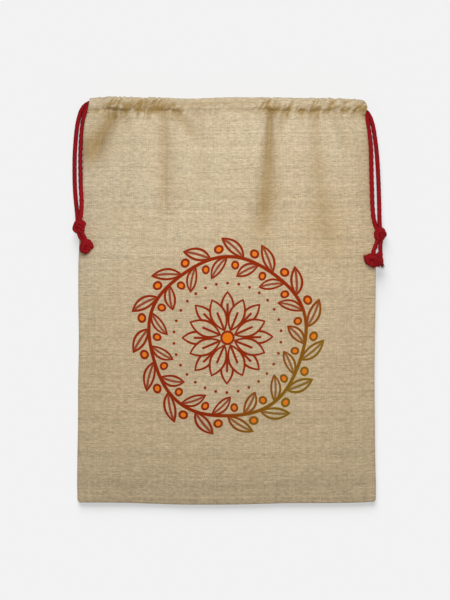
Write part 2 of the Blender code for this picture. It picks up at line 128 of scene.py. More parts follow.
# A valley: three places along it, its width at the top and the foot, and its
# depth. Below 0 it is a ridge.
Fold = namedtuple("Fold", "top middle foot top_width foot_width depth")
FRONT_FOLDS = [
    Fold((-112, 190), (-126, 166), (-143, 124), 20, 24, 7.6),  # into the left corner
    Fold((-140, 166), (-142, 148), (-146, 126), 22, 18, 5.0),
    Fold((-62, 190), (-62, 135), (-64, 56), 11, 14, 3.8),
    Fold((-57, 193), (-42, 178), (-26, 150), 11, 15, 3.4),
    Fold((-27, 188), (-26, 160), (-22, 86), 13, 18, 1.3),
    Fold((43.5, 190), (41.5, 145), (34, 36), 6, 30, 7.4),  # the main valley
    Fold((57, 190), (55, 181), (52, 160), 8, 9, 3.2),
    Fold((88, 190), (93, 125), (107, 20), 10, 34, 3.6),
    Fold((106, 190), (113, 176), (127, 142), 9, 20, 2.6),
    Fold((-96, 190), (-99, 150), (-104, 60), 12, 22, 0.8),
    Fold((-1, 196), (14, 140), (22, 60), 24, 30, -1.5),  # the ridges between them
    Fold((69, 192), (66, 140), (62, 70), 14, 24, -1.4),
    Fold((-84, 192), (-86, 150), (-88, 80), 14, 20, -1.2),
    Fold((-101, 190), (-102, 181), (-104, 162), 6, 9, 1.6),  # gathers that hang from the stitches
    Fold((-79, 190), (-80, 182), (-82, 164), 6, 9, 1.5),
    Fold((-14, 190), (-13, 180), (-11, 156), 7, 11, 1.1),
    Fold((-5, 190), (-4, 182), (-1, 162), 6, 9, 0.9),
    Fold((19, 190), (20, 181), (22, 160), 6, 10, 0.9),
    Fold((74, 190), (73, 181), (72, 162), 6, 9, 1.3),
    Fold((121, 190), (123, 182), (127, 164), 6, 9, 1.1),
]
BACK_FOLDS = [  # where the back stands off the surface
    Fold((-92, 188), (-95, 168), (-99, 140), 12, 16, -1.8),
    Fold((-34, 188), (-31, 166), (-27, 138), 12, 18, -2.2),
    Fold((40, 188), (37, 168), (35, 142), 10, 14, -1.6),
    Fold((97, 188), (99, 166), (104, 139), 12, 16, -1.9),
    Fold((-10, 150), (-7, 60), (-2, -70), 22, 30, -1.4),  # a long low one down the middle
]
FOLD_REACH = 0.5  # a fold's reach to each side, in its widths
FOLD_CREASE = 1.35  # 2 is a round valley, 1 a sharp one
FOLD_FADE = 60.0  # how far a fold takes at most to run out at its foot
FOLD_RUN = 0.6  # and as a share of its length
FOLD_AT_STITCH = 0.55  # share of a fold's depth at the stitches
FOLD_REACHES, FOLD_ROUND = 175.0, 14.0  # a fold with a lower top runs out there, over this
FOLD_RISE = 7.0  # how far below the stitches it is at full depth
FRONT_SEAM, BACK_SEAM = 5.0, 14.0  # width at the sides that the folds leave flat
FOLD_CLEAR = 14.0  # how far in from there a fold is at full depth

# The casing's section: how far below the top edge, and how far out of its
# middle as a share of CASING_HALF. It runs over the two cords and back inside.
Section = namedtuple("Section", "down out")
CASING_OUTSIDE = [
    Section(13.8, 0.33), Section(13.0, 0.40), Section(12.0, 0.52), Section(10.8, 0.66),
    Section(9.6, 0.77), Section(8.3, 0.84), Section(7.0, 0.87), Section(5.8, 0.93),
    Section(4.2, 1.00), Section(2.2, 0.92), Section(0.8, 0.64), Section(0.0, 0.28),
]
CASING_INSIDE = [
    Section(0.0, -0.28), Section(0.8, -0.68), Section(2.2, -0.92), Section(4.6, -1.00),
    Section(9.4, -1.00), Section(12.2, -0.72), Section(13.8, -0.33), Section(16.8, -0.33),
]
CASING = CASING_OUTSIDE + CASING_INSIDE
TOP_SECTION = len(CASING_OUTSIDE) - 1
SECTION_STEPS = 2

# The gathers: rounded ridges with sharp valleys, leaning to the right, whose
# spacing wanders along the mouth. Their swell is a share, 0 to about 1.
Wave = namedtuple("Wave", "length start height slant", defaults=[0.0])
RUFFLES = [Wave(9.4, 0.35, 0.50, 0.55), Wave(15.7, 0.10, 0.38, 0.38)]
WANDERS = [Wave(98.0, 0.6, 2.8), Wave(43.0, 2.0, 1.9), Wave(21.0, 4.0, 0.9)]
RUFFLE_ROUND = 0.8  # below 1 the ridges are flatter and the valleys sharper
RUFFLE_MEAN = 0.6  # the swell at which the cloth below the stitches keeps its height
RUFFLE_OUT = 2.0  # greatest swell of the front casing
RUFFLE_FULL = 6.0  # down to which it swells fully
RUFFLE_TOP = 1.1  # how far the mouth's edge wanders
RUFFLE_UNDER = 1.6  # swell of the cloth just below the stitches
RUFFLE_BELOW = 13.0  # how far below the stitches the gathers run out
GATHERS_LEAN = 0.5  # how much they lean there, as a share of their lean on the casing
STREAK, STREAK_WIDE, STREAK_LONG, STREAK_LEAN = 0.46, 2.3, 9.0, 0.62  # fine leaning creases
GATHER_STRENGTH = [  # (x, share) along the mouth
    (-138, 0.3), (-124, 0.6), (-112, 1.0), (-60, 1.0), (-44, 0.45), (-28, 0.2), (0, 0.2),
    (26, 0.3), (42, 0.9), (60, 0.95), (70, 0.6), (84, 0.85), (100, 0.9), (136, 0.8),
]

# The stitches, whose line strays up and down
SEAM_WANDERS = [Wave(33.0, 0.9, 0.45), Wave(14.3, 2.2, 0.38), Wave(7.9, 1.1, 0.16)]
STITCHED_OVER = 3.2  # over which the casing comes down to its stitches
STITCH_DIMPLE = 0.6  # how far the stitches pull the back off the surface
DIMPLE_REACH = 3.4
BACK_LYING = 0.4  # from this share out, the back casing lies on the surface

# How much browner the cloth is painted, from 0 to 1: painted shade down in the folds and gathers, along the
# stitches and beside the right cord, and a browner band along the casing
FOLD_SHADE_FULL = 9.5  # depth of a fold whose painted shade is full
GATHER_SHADE, GATHER_SHADE_BELOW = 1.0, 10.0  # painted shade in the gathers below the stitches, and how far down that runs out
GATHER_SHADE_SWELL = 1.2  # how fast that goes as the gathers swell
SEAM_SHADE, SEAM_WIDE = 0.22, 1.3  # painted shade along the stitches
SHADE_LINE_DOWN, SHADE_LINE_WIDE = 10.8, 3.4  # a broken line of painted shade between the cords and the stitches
SHADE_LINE_WANDER, SHADE_LINE_WANDER_LONG = 2.4, 13.0  # how far it strays up and down
SPOT, SPOT_LEAST, SPOT_MORE = 3.6, 0.72, 1.9  # and how it comes and goes
VALLEY_SHADE, VALLEY_STEEP, VALLEY_FROM = 0.9, 1.5, 0.30  # painted shade in the valleys between the gathers
SHADE_TOP = 3.0  # how far below the mouth's edge all of these are at their full share
BROWN_BAND, BROWN_BAND_DOWN, BROWN_BAND_WIDE = 0.36, 5.6, 3.6  # a browner band along the casing, but for its ends
BROWN_BAND_FROM, BROWN_BAND_TO, BROWN_BAND_FADE = -132.0, 48.0, 40.0
CORD_SHADE, CORD_SHADE_WIDE, CORD_SHADE_FROM, CORD_SHADE_TO, CORD_SHADE_FADE = 0.55, 3.4, 62.0, 186.0, 24.0  # painted shade beside the right cord, along the right edge

Grid = namedtuple("Grid", "name front across along")
PANELS = [  # across and along are the steps between the points of the cloth
    Grid("front_cloth", True, 1.32, 2.95),
    Grid("back_cloth", False, 2.6, 3.9),
]
FIRST_ROWS = [0.0, 1.2, 2.6, 4.4, 6.6]  # above the bottom edge
ROWS_FINER = 0.45  # towards the mouth the rows are this much closer
Dent = namedtuple("Dent", "across along depth")
DENTS = [Dent(42.0, 60.0, 0.75), Dent(15.0, 30.0, 0.22), Dent(6.0, 9.0, 0.07)]  # uneven cloth


def ease(share):
    """0 to 1 with soft ends."""
    share = np.clip(share, 0.0, 1.0)
    return share * share * (3.0 - 2.0 * share)


def through(rows, place):
    """A smooth curve through a table's (place, value) rows."""
    place = min(max(place, rows[0][0]), rows[-1][0])
    i = 0
    while i < len(rows) - 2 and place > rows[i + 1][0]:
        i += 1
    before, start, end, after = (rows[max(0, min(len(rows) - 1, k))] for k in range(i - 1, i + 3))
    step = end[0] - start[0]
    share = (place - start[0]) / step
    leaving = (end[1] - before[1]) / (end[0] - before[0]) * step
    arriving = (after[1] - start[1]) / (after[0] - start[0]) * step
    return (
        start[1] * (2 * share**3 - 3 * share**2 + 1)
        + leaving * (share**3 - 2 * share**2 + share)
        + end[1] * (3 * share**2 - 2 * share**3)
        + arriving * (share**3 - share**2)
    )


def line_through(rows, count=600):
    """The same curve as a function of an array of places."""
    places = np.linspace(rows[0][0], rows[-1][0], count)
    values = [through(rows, place) for place in places]
    return lambda place: np.interp(place, places, values)


left_edge = line_through([(edge.y, edge.left) for edge in EDGES])
right_edge = line_through([(edge.y, edge.right) for edge in EDGES])
bottom_edge = line_through([(end.x, end.bottom) for end in ENDS])
top_edge = line_through([(end.x, end.top) for end in ENDS])
crown_line = line_through([(crown.y, crown.middle) for crown in CROWN])
gather_share = line_through(GATHER_STRENGTH)


def wandering(waves, x):
    """A line that wanders to both sides of 0 by these waves."""
    return sum(wave.height * np.sin(2 * math.pi * x / wave.length + wave.start) for wave in waves)


def seam_down(x):
    """How far the stitches are below the top edge."""
    return STITCH_DOWN - wandering(SEAM_WANDERS, x)


def seam_line(x):
    """The y of the stitches."""
    return top_edge(x) - seam_down(x)


def swell(share):
    """0 to 1, steep at first and level at the end."""
    return 1.0 - (1.0 - np.clip(share, 0.0, 1.0)) ** 2


def uneven(x, y, layer):
    """Smooth noise to both sides of 0; each pattern has a layer of its own."""
    x, y = np.broadcast_arrays(x, y)
    values = [noise.noise((a, b, layer)) for a, b in zip(x.ravel(), y.ravel())]
    return np.array(values).reshape(x.shape)


def bell(off, wide):
    """1 in the middle, and near 0 beyond twice the width."""
    return np.exp(-((off / wide) ** 2))


def inward(x, y):
    """How far a place is from the nearer side of the sack."""
    return np.minimum(left_edge(y) + x, right_edge(y) - x)


def fold_line(fold):
    """A fold's x at each y."""
    return line_through([(place[1], place[0]) for place in (fold.foot, fold.middle, fold.top)])


FOLD_LINES = {fold: fold_line(fold) for fold in FRONT_FOLDS + BACK_FOLDS}


def fold_depth(fold, x, y, stitches):
    """How deep a fold is at each place."""
    line = FOLD_LINES[fold]
    up = np.clip((y - fold.foot[1]) / (fold.top[1] - fold.foot[1]), 0.0, 1.0)
    width = fold.foot_width + (fold.top_width - fold.foot_width) * up
    across = (x - line(y)) / width
    fade = ease((y - fold.foot[1]) / min(FOLD_FADE, FOLD_RUN * (fold.top[1] - fold.foot[1])))
    start = FOLD_AT_STITCH + (1 - FOLD_AT_STITCH) * ease((stitches - y) / FOLD_RISE)
    if fold.top[1] < FOLD_REACHES:
        start = ease((fold.top[1] + FOLD_ROUND - y) / (2 * FOLD_ROUND))
    return fold.depth * fade * start * np.exp(-((np.abs(across) / FOLD_REACH) ** FOLD_CREASE))


def folds_together(folds, x, y):
    """How deep these folds would be together, were the sides not sewn."""
    stitches = seam_line(x)
    return sum(fold_depth(fold, x, y, stitches) for fold in folds)


def off_side(x, y, seam):
    """0 beside a side's seam, and 1 from where the folds have their full depth."""
    return ease((inward(x, y) - seam) / FOLD_CLEAR)


def plain_height(x, y):
    """The front's outside without its folds."""
    mouth = ease((y - MOUTH_LIFT_FROM) / MOUTH_LIFT_OVER)
    roll = SIDE_ROLL + (MOUTH_ROLL - SIDE_ROLL) * mouth
    share = swell(inward(x, y) / roll) * swell((y - bottom_edge(x)) / BOTTOM_ROLL)
    lift = ease((y - SIDE_LIFT_FROM) / (SIDE_LIFT_TO - SIDE_LIFT_FROM))
    side = SIDE_STACK + (SIDE_CASING + PINCH - SIDE_STACK) * lift
    return side + (crown_line(y) - side) * share


def ruffle(x, down):
    """0 to about 1: the gathers' swell at a place on the casing."""
    place = x + wandering(WANDERS, x)
    ridges = 0.0
    for wave in RUFFLES:
        turn = np.sin(math.pi * ((place + wave.slant * down) / wave.length + wave.start))
        ridges = ridges + wave.height * np.abs(turn) ** RUFFLE_ROUND
    streaks = 2 * uneven((x + STREAK_LEAN * down) / STREAK_WIDE, down / STREAK_LONG, 5.1)
    return gather_share(x) * (ridges + STREAK * streaks)


def dents(x, y):
    """The soft unevenness of limp cloth."""
    return sum(
        dent.depth * uneven(x / dent.across, y / dent.along, 7.3 * k) for k, dent in enumerate(DENTS)
    )


def front_height(x, y):
    """The height of the front's outside."""
    below = seam_line(x) - y
    gathers = ruffle(x, STITCH_DOWN + below * GATHERS_LEAN) - RUFFLE_MEAN * gather_share(x)
    puckers = RUFFLE_UNDER * (1 - ease(below / RUFFLE_BELOW)) * gathers
    clear = off_side(x, y, FRONT_SEAM)
    return plain_height(x, y) - clear * folds_together(FRONT_FOLDS, x, y) + clear * (puckers + dents(x, y))


def back_height(x, y):
    """The height of the back's outside, flat on the surface but for its lifts."""
    return -off_side(x, y, BACK_SEAM) * folds_together(BACK_FOLDS, x, y)


def body_shade(x, y):
    """0 to 1: how much painted shade a place of the front gets, down in a fold, in the gathers below the
    stitches and beside the right cord.
    """
    gathers = gather_share(x) * (1 - ruffle(x, STITCH_DOWN) * GATHER_SHADE_SWELL)
    below = GATHER_SHADE * (1 - ease((seam_line(x) - y) / GATHER_SHADE_BELOW))
    # Painted shade on the cloth beside the right cord
    side = np.exp(-np.maximum(right_edge(y) - x, 0.0) / CORD_SHADE_WIDE)
    cord_shade = CORD_SHADE * side * ease((y - CORD_SHADE_FROM) / CORD_SHADE_FADE) * ease((CORD_SHADE_TO - y) / CORD_SHADE_FADE)
    folds = folds_together(FRONT_FOLDS, x, y) / FOLD_SHADE_FULL
    return np.clip(folds + below * np.clip(gathers, 0.0, 1.0) + cord_shade, 0.0, 1.0)


def casing_shade(x, down):
    """0 to 1: how much browner a place of the casing is painted: painted shade in the gathers' valleys, in a
    broken line above the stitches and along them, and a browner band along the casing.
    """
    gathered = gather_share(x)
    valley = (gathered - ruffle(x, down)) * VALLEY_STEEP - VALLEY_FROM
    spots = SPOT_LEAST + SPOT_MORE * uneven((x + STREAK_LEAN * down) / SPOT, down / SPOT, 2.2)
    stray = SHADE_LINE_WANDER * uneven(x / SHADE_LINE_WANDER_LONG, 0.0, 8.4)
    between = spots * bell(down - SHADE_LINE_DOWN - stray, SHADE_LINE_WIDE)
    band_there = ease((x - BROWN_BAND_FROM) / BROWN_BAND_FADE) * ease((BROWN_BAND_TO - x) / BROWN_BAND_FADE)
    share = (
        gathered * between
        + VALLEY_SHADE * np.clip(valley, 0.0, 1.0)
        + SEAM_SHADE * bell(down - STITCH_DOWN, SEAM_WIDE)
        + BROWN_BAND * band_there * bell(down - BROWN_BAND_DOWN, BROWN_BAND_WIDE)
    )
    return np.clip(share * ease(down / SHADE_TOP), 0.0, 1.0)


def casing_sections():
    """The casing's section as a fine smooth line of (down, out)."""
    downs = [(i, section.down) for i, section in enumerate(CASING)]
    outs = [(i, section.out) for i, section in enumerate(CASING)]
    count = (len(CASING) - 1) * SECTION_STEPS
    places = [i / SECTION_STEPS for i in range(1, count + 1)]
    return [(place, through(downs, place), through(outs, place)) for place in places]


def turned(angle):
    """A turned edge's place in from its outermost line, and its depth."""
    return TURN - TURN * np.sin(angle), TURN - TURN * np.cos(angle)


def allowance(along):
    """The turned-in cloth's width, mitred towards a bottom corner."""
    return MITRE + (ALLOWANCE - MITRE) * np.clip(along / MITRE_RUN, 0.0, 1.0)


def rounded_corners(x, y):
    """The same places with the two bottom corners of the sack drawn in to a round."""
    left, right, bottom = left_edge(y), right_edge(y), bottom_edge(x)
    left_side = x < 0
    beside = np.where(left_side, left + x, right - x)
    off_side = np.clip(1 - beside / CORNER_ROUND, 0.0, 1.0)
    off_foot = np.clip(1 - (y - bottom) / CORNER_ROUND, 0.0, 1.0)
    side_in = CORNER_ROUND * off_side * (1 - np.sqrt(1 - off_foot**2 / 2))
    foot_in = CORNER_ROUND * off_foot * (1 - np.sqrt(1 - off_side**2 / 2))
    return x + np.where(left_side, side_in, -side_in), y + foot_in


def casing_height(front, x, y, stitches, gather, section):
    """The height of one line of a casing's section, on its outside up to the top and then inside."""
    number, down, out = section
    stitched = ease((down - STITCH_DOWN) / STITCHED_OVER + 1.0)
    pinch = 2 * PINCH if out < 0 else 0.0
    outside = number <= TOP_SECTION
    if front:
        loose = plain_height(x, np.minimum(stitches, SIDE_LIFT_TO)) - PINCH + CASING_HALF * out
        if outside:
            full = 1 - ease((down - RUFFLE_FULL) / (STITCH_DOWN - RUFFLE_FULL))
            loose = loose + RUFFLE_OUT * gather * full
        return loose + (front_height(x, y) - pinch - loose) * stitched
    dimple = STITCH_DIMPLE * (1 - ease(abs(down - STITCH_DOWN) / DIMPLE_REACH)) if outside else 0.0
    if out >= BACK_LYING:
        return np.full(len(x), dimple)
    loose = CASING_HALF * (1 - out)
    return np.maximum(loose + (back_height(x, y) + pinch - loose) * stitched, 0.0) + dimple


def kept_faces(grid, rows, columns, casing_row, top_row):
    """Which faces of a panel's grid stay.

    Gone are those where two turned-in edges would lie over each other, the
    turned-in sides of the casing, and the ends of its inside layer.
    """
    keep = np.ones((rows - 1, columns - 1), bool)
    turned_in = TURN_STEPS + 1
    upright = turned_in - TURN_STEPS // 2  # from here out a turned edge shows from above
    for gone, ends in (
        (slice(None, upright), turned_in + 1),
        (slice(None, turned_in), upright),
        (slice(casing_row, None), turned_in),
        (slice(top_row, None), turned_in + math.ceil(HEM_CLEAR / grid.across)),
    ):
        keep[gone, :ends] = False
        keep[gone, -ends:] = False
    return keep


def panel_points(grid):
    """A panel's outside as rows by columns: places, the cloth's map, how much painted shade, which faces
    stay.
    """
    height_of = front_height if grid.front else back_height
    middle = round(WIDTH / grid.across)
    turns = [math.pi * step / TURN_STEPS for step in range(TURN_STEPS, 0, -1)]

    # Columns: the allowance's edge, the turned steps, the width, and the same again.
    edge = TURN_STEPS + 1
    shares = np.array([0.0] * edge + [i / middle for i in range(middle + 1)] + [1.0] * edge)
    angles = np.array([math.pi, *turns] + [0.0] * (middle + 1) + [*reversed(turns), math.pi])
    flat = angles == 0
    sides = np.where(shares < 0.5, -1.0, 1.0)
    raw = np.zeros(len(shares))
    raw[0] = raw[-1] = 1.0
    count = len(shares)

    middle_x = (shares - 0.5) * WIDTH
    in_from_side = np.minimum(shares, 1 - shares) * WIDTH
    bottom = bottom_edge(middle_x) + TURN
    stitches = seam_line(middle_x)
    hem_end = (HEM_DOWN / STITCH_DOWN - 1) * seam_down(middle_x)
    up_to_casing = stitches - hem_end - bottom
    across_cloth = middle_x + sides * (TURN * angles + ALLOWANCE * raw)

    rows = []  # (x, y, outside height, depth below it, along the cloth, painted shade)

    def body_row(y, up, depth, along):
        left, right = left_edge(y) - TURN, right_edge(y) - TURN
        place, side_depth = turned(angles)
        x = shares * (left + right) - left
        x = x + np.where(flat, 0.0, sides * (TURN - place - raw * allowance(up)))
        shade_share = body_shade(x, y) if grid.front else 0.0
        rows.append((x, y, height_of(x, y), depth + np.where(flat, 0.0, side_depth), along, shade_share))

    place, depth = turned(math.pi)
    hem = allowance(in_from_side - grid.across)
    body_row(bottom + place - TURN + hem, 0.0, depth, -math.pi * TURN - hem)
    for angle in turns:
        place, depth = turned(angle)
        body_row(bottom + place - TURN, 0.0, depth, np.full(count, -TURN * angle))
    for up in FIRST_ROWS[:-1]:
        body_row(bottom + up, up, 0.0, up)
    steps = round(up_to_casing.mean() / grid.along)
    for i in range(steps + 1):
        share = i / steps
        share += ROWS_FINER * share * (1 - share)
        up = FIRST_ROWS[-1] + (up_to_casing - FIRST_ROWS[-1]) * share
        body_row(bottom + up, up, 0.0, up)
    casing_row = len(rows)

    along = up_to_casing
    last_down, last_out = HEM_DOWN, CASING[0].out
    for number, down, out in casing_sections():
        y = top_edge(middle_x) - down / STITCH_DOWN * seam_down(middle_x)
        x = shares * (left_edge(y) + right_edge(y)) - left_edge(y)
        along = along + math.hypot(down - last_down, (out - last_out) * CASING_HALF)
        last_down, last_out = down, out
        gather = ruffle(x, down)
        y = y + RUFFLE_TOP * (gather - 0.5) * (1 - down / STITCH_DOWN)
        height = casing_height(grid.front, x, y, stitches, gather, (number, down, out))
        rows.append((x, y, height, 0.0, along, casing_shade(x, down)))

    x, y, height, depth, along_cloth, shade_share = (
        np.array([np.broadcast_to(row[k], count) for row in rows]) for k in range(6)
    )
    z = height - depth if grid.front else height + depth
    x[:casing_row], y[:casing_row] = rounded_corners(x[:casing_row], y[:casing_row])
    cloth = np.stack([np.broadcast_to(across_cloth, x.shape), along_cloth + bottom_edge(0.0)], axis=-1)
    keep = kept_faces(grid, len(rows), count, casing_row, casing_row + TOP_SECTION * SECTION_STEPS)
    return np.stack([x, y, z], axis=-1), cloth, shade_share, keep


def select_only(*objects):
    """Leaves just these selected, the first of them active."""
    bpy.ops.object.select_all(action="DESELECT")
    for each in objects:
        each.select_set(True)
    bpy.context.view_layer.objects.active = objects[0]


def apply_modifiers(piece):
    select_only(piece)
    for modifier in list(piece.modifiers):
        bpy.ops.object.modifier_apply(modifier=modifier.name)


def settle(piece):
    """Presses flat on the surface what would lie below it."""
    points = np.zeros(len(piece.data.vertices) * 3, np.float32)
    piece.data.vertices.foreach_get("co", points)
    points[2::3] = np.maximum(points[2::3], 0.0)
    piece.data.vertices.foreach_set("co", points)
    piece.data.update()


def make_panel(grid):
    """One panel as a thin sheet on its solid's folds."""
    places, cloth, shade_share, keep = panel_points(grid)
    rows, columns = places.shape[:2]
    bpy.ops.mesh.primitive_grid_add(x_subdivisions=columns - 1, y_subdivisions=rows - 1, size=2.0)
    piece = bpy.context.object
    piece.name = grid.name
    mesh = piece.data
    mesh.name = grid.name
    points = np.zeros(len(mesh.vertices) * 3, np.float32)
    mesh.vertices.foreach_get("co", points)
    points = points.reshape(-1, 3)
    column = np.rint((points[:, 0] + 1) / 2 * (columns - 1)).astype(int)
    row = np.rint((points[:, 1] + 1) / 2 * (rows - 1)).astype(int)
    mesh.vertices.foreach_set("co", (places[row, column] * MM).astype(np.float32).ravel())

    # The share of painted shade goes to the material as an attribute.
    painted_shade = mesh.attributes.new("painted_shade", "FLOAT", "POINT")
    painted_shade.data.foreach_set("value", shade_share[row, column].astype(np.float32))

    corner = np.zeros(len(mesh.loops), np.int32)
    mesh.loops.foreach_get("vertex_index", corner)
    while mesh.uv_layers:
        mesh.uv_layers.remove(mesh.uv_layers[0])
    uv = mesh.uv_layers.new(name="cloth")
    uv.data.foreach_set("uv", (cloth[row[corner], column[corner]] * MM).astype(np.float32).ravel())

    bm = bmesh.new()
    bm.from_mesh(mesh)
    bm.verts.ensure_lookup_table()
    gone = [
        face for face in bm.faces
        if not keep[min(row[v.index] for v in face.verts), min(column[v.index] for v in face.verts)]
    ]
    bmesh.ops.delete(bm, geom=gone, context="FACES")
    if not grid.front:
        bmesh.ops.reverse_faces(bm, faces=bm.faces)
    bm.to_mesh(mesh)
    bm.free()
    mesh.shade_smooth()

    for _ in ("outside", "inside"):
        mesh.materials.append(None)
    solidify = piece.modifiers.new("cloth thickness", "SOLIDIFY")
    solidify.thickness = CLOTH * MM
    solidify.offset = -1.0
    solidify.use_even_offset = True
    solidify.use_rim = True
    solidify.material_offset = 1
    solidify.material_offset_rim = 1
    apply_modifiers(piece)
    settle(piece)
    return piece


# ---------------------------------------------------------------- the cords

CORD = 4.8  # diameter of a cord
BRAID_STRANDS = 4  # of the eight yarns, those that wind one way
BRAID_CELL = 3.3  # along the cord, from crossing to crossing
BRAID_DEEP = 0.22  # depth of the grooves, as a share of the radius
YARN_UNDER = 0.45  # what a yarn's crest has left where it goes under
END_ROUND, END_LEAST = 1.5, 0.05  # a cut end rounds off over this, to this share
ROUTE_STEP = 0.55
AROUND = 20

# Each cord's route, from its first knot up, through the front casing, round at
# the far side, back through the back casing and down to the knot again.
CORD_LEFT = [
    (-147.2, 84.6, 8.8), (-146.6, 91.0, 8.0), (-146.4, 98.0, 7.2), (-146.7, 106.0, 6.4),
    (-147.3, 114.0, 4.7), (-147.7, 124.0, 3.0), (-147.9, 140.0, 2.7), (-147.7, 152.0, 2.8),
    (-147.1, 163.0, 3.6), (-145.9, 174.0, 6.0), (-144.1, 184.6, 9.0), (-141.1, 192.0, 10.8),
    (-136.9, 197.6, 11.7), (-130.0, 200.2, 12.05),
    (-116.0, 200.2, 13.5), (-104.0, 199.6, 15.05), (-92.0, 199.3, 16.3), (-78.0, 199.2, 16.85),
    (-46.0, 198.7, 16.85), (0.0, 200.0, 16.85), (40.0, 199.6, 16.85), (78.0, 199.1, 16.85),
    (92.0, 198.9, 16.3), (104.0, 198.8, 15.0), (116.0, 198.7, 13.45), (131.0, 198.5, 11.8),
    (134.4, 198.4, 10.6), (135.7, 198.4, 7.9), (134.4, 198.4, 5.0), (131.0, 198.5, 3.75),
    (110.0, 198.7, 3.75), (75.0, 199.0, 3.75), (35.0, 199.7, 3.75), (0.0, 200.0, 3.75),
    (-45.0, 198.7, 3.75), (-85.0, 199.2, 3.75), (-115.0, 200.2, 3.75), (-133.0, 200.2, 3.75),
    (-141.0, 198.3, 3.6), (-146.2, 192.9, 3.3), (-149.3, 184.5, 2.8), (-151.3, 174.5, 2.45),
    (-152.7, 161.0, 2.45), (-153.6, 146.0, 2.45), (-153.7, 124.0, 2.45), (-153.1, 109.0, 2.45),
    (-152.2, 99.0, 3.0), (-151.3, 91.0, 4.4), (-150.6, 84.6, 5.8),
]
CORD_RIGHT = [
    (149.6, 75.8, 6.4), (147.9, 82.5, 7.2), (147.0, 90.0, 7.4), (146.5, 98.0, 7.3),
    (146.3, 106.0, 7.1), (146.1, 114.0, 6.9), (145.8, 123.0, 6.8), (145.6, 136.0, 6.7),
    (145.3, 151.0, 6.8), (144.5, 161.0, 7.2), (143.0, 171.0, 8.0), (141.1, 180.5, 9.3),
    (139.0, 187.6, 10.4), (135.4, 192.0, 11.3), (130.0, 193.4, 11.5), (116.0, 193.8, 12.9),
    (104.0, 194.0, 14.45), (92.0, 194.1, 15.75), (78.0, 194.3, 16.3), (40.0, 194.8, 16.3),
    (0.0, 195.2, 16.3), (-46.0, 193.9, 16.3), (-78.0, 194.4, 16.3), (-92.0, 194.5, 15.75),
    (-104.0, 194.8, 14.5), (-116.0, 195.2, 12.95), (-129.0, 195.3, 11.7), (-132.4, 195.2, 10.5),
    (-133.7, 195.2, 7.9), (-132.4, 195.2, 5.0), (-129.0, 195.3, 3.75), (-110.0, 195.0, 3.75),
    (-78.0, 194.4, 3.75), (-46.0, 193.9, 3.75), (0.0, 195.2, 3.75), (40.0, 194.8, 3.75),
    (85.0, 194.2, 3.75), (115.0, 193.9, 3.75), (132.0, 193.5, 3.75), (139.1, 191.6, 3.6),
    (143.8, 186.4, 3.2), (147.2, 177.0, 2.6), (149.6, 163.0, 2.45), (151.5, 146.0, 2.45),
    (152.9, 122.0, 2.45), (153.7, 98.0, 2.5), (153.8, 88.0, 3.4), (153.9, 80.0, 4.4),
    (154.0, 75.8, 5.0),
]

# The doubled cord's way through a knot, in shares of its reach: down the
# middle, round over the front, behind, and out below through its own loop.
KNOT_WAY = [
    (0.10, 0.95, 0.05), (0.12, 0.45, -0.15), (0.05, -0.45, -0.25), (-0.55, -0.85, 0.05),
    (-0.95, -0.15, 0.45), (-0.35, 0.55, 0.85), (0.60, 0.65, 0.55), (0.95, 0.10, -0.25),
    (0.30, -0.35, -0.85), (-0.55, -0.25, -0.75), (-0.65, 0.20, -0.05), (-0.05, -0.10, 0.65),
    (0.35, -0.65, 0.45), (0.25, -0.95, 0.05),
]
KNOT_CORD = 4.7  # a strand pulled tight in a knot
KNOT_UNEVEN = 0.13  # how far its way wanders, as a share of the knot's reach
UNEVEN_STEP = 1.7  # how little one place of it has to do with the next
KNOT_APART = 1.9  # half the distance between the two strands
KNOT_CORE = 0.95  # the squeezed strands inside, as a share of the knot's reach
Knot = namedtuple("Knot", "name node centre reach lean turn tail")
KNOTS = [  # tail is how far the ends stand out below the knot
    Knot("left_upper_knot", "knot_left", (-148.4, 75.0, 9.8), (5.3, 5.9, 3.0), -30, 12, 0.0),
    Knot("left_end_knot", "knot_left_end", (-141.0, 55.0, 12.4), (5.9, 5.3, 3.2), -12, 38, 1.2),
    Knot("right_upper_knot", "knot_right", (154.2, 67.0, 6.4), (4.0, 5.6, 2.7), 0, -8, 0.0),
    Knot("right_end_knot", "knot_right_end", (147.0, 40.2, 11.2), (6.6, 5.1, 3.1), 20, -30, 2.0),
]
NECKS = {  # the two strands into each knot, from inside the cord or knot above
    "knot_left": [
        [(-146.8, 88.6, 8.3), (-147.2, 84.6, 8.9), (-148.0, 81.0, 9.7), (-148.8, 78.0, 10.0)],
        [(-150.9, 88.6, 4.9), (-150.6, 84.6, 5.8), (-150.4, 81.0, 7.2), (-149.8, 78.0, 8.6)],
    ],
    "knot_left_end": [
        [(-150.0, 71.5, 8.6), (-148.8, 67.5, 9.2), (-147.2, 63.5, 10.0), (-144.6, 59.5, 11.6)],
        [(-147.0, 71.5, 11.2), (-145.2, 67.5, 12.0), (-143.2, 63.5, 12.8), (-141.4, 59.5, 13.4)],
    ],
    "knot_right": [
        [(148.8, 79.0, 6.8), (149.6, 75.8, 6.4), (151.2, 72.4, 6.2), (152.8, 69.4, 6.2)],
        [(153.7, 79.4, 4.5), (154.0, 75.8, 5.0), (154.6, 72.4, 5.3), (154.8, 69.4, 5.8)],
    ],
    "knot_right_end": [
        [(152.9, 63.0, 6.2), (151.0, 58.4, 6.9), (149.1, 53.5, 8.0), (147.4, 48.6, 9.8), (146.4, 44.6, 11.2)],
        [(155.5, 63.0, 5.6), (155.0, 58.4, 5.3), (154.5, 53.5, 5.8), (154.3, 48.0, 7.4), (153.2, 42.4, 9.2)],
    ],
}

TAILS = {  # strands that run on past their knot
    "knot_right_end": [[(154.5, 50.0, 7.0), (154.7, 46.0, 8.6), (155.0, 41.6, 9.4), (155.9, 37.0, 9.0)]],
}

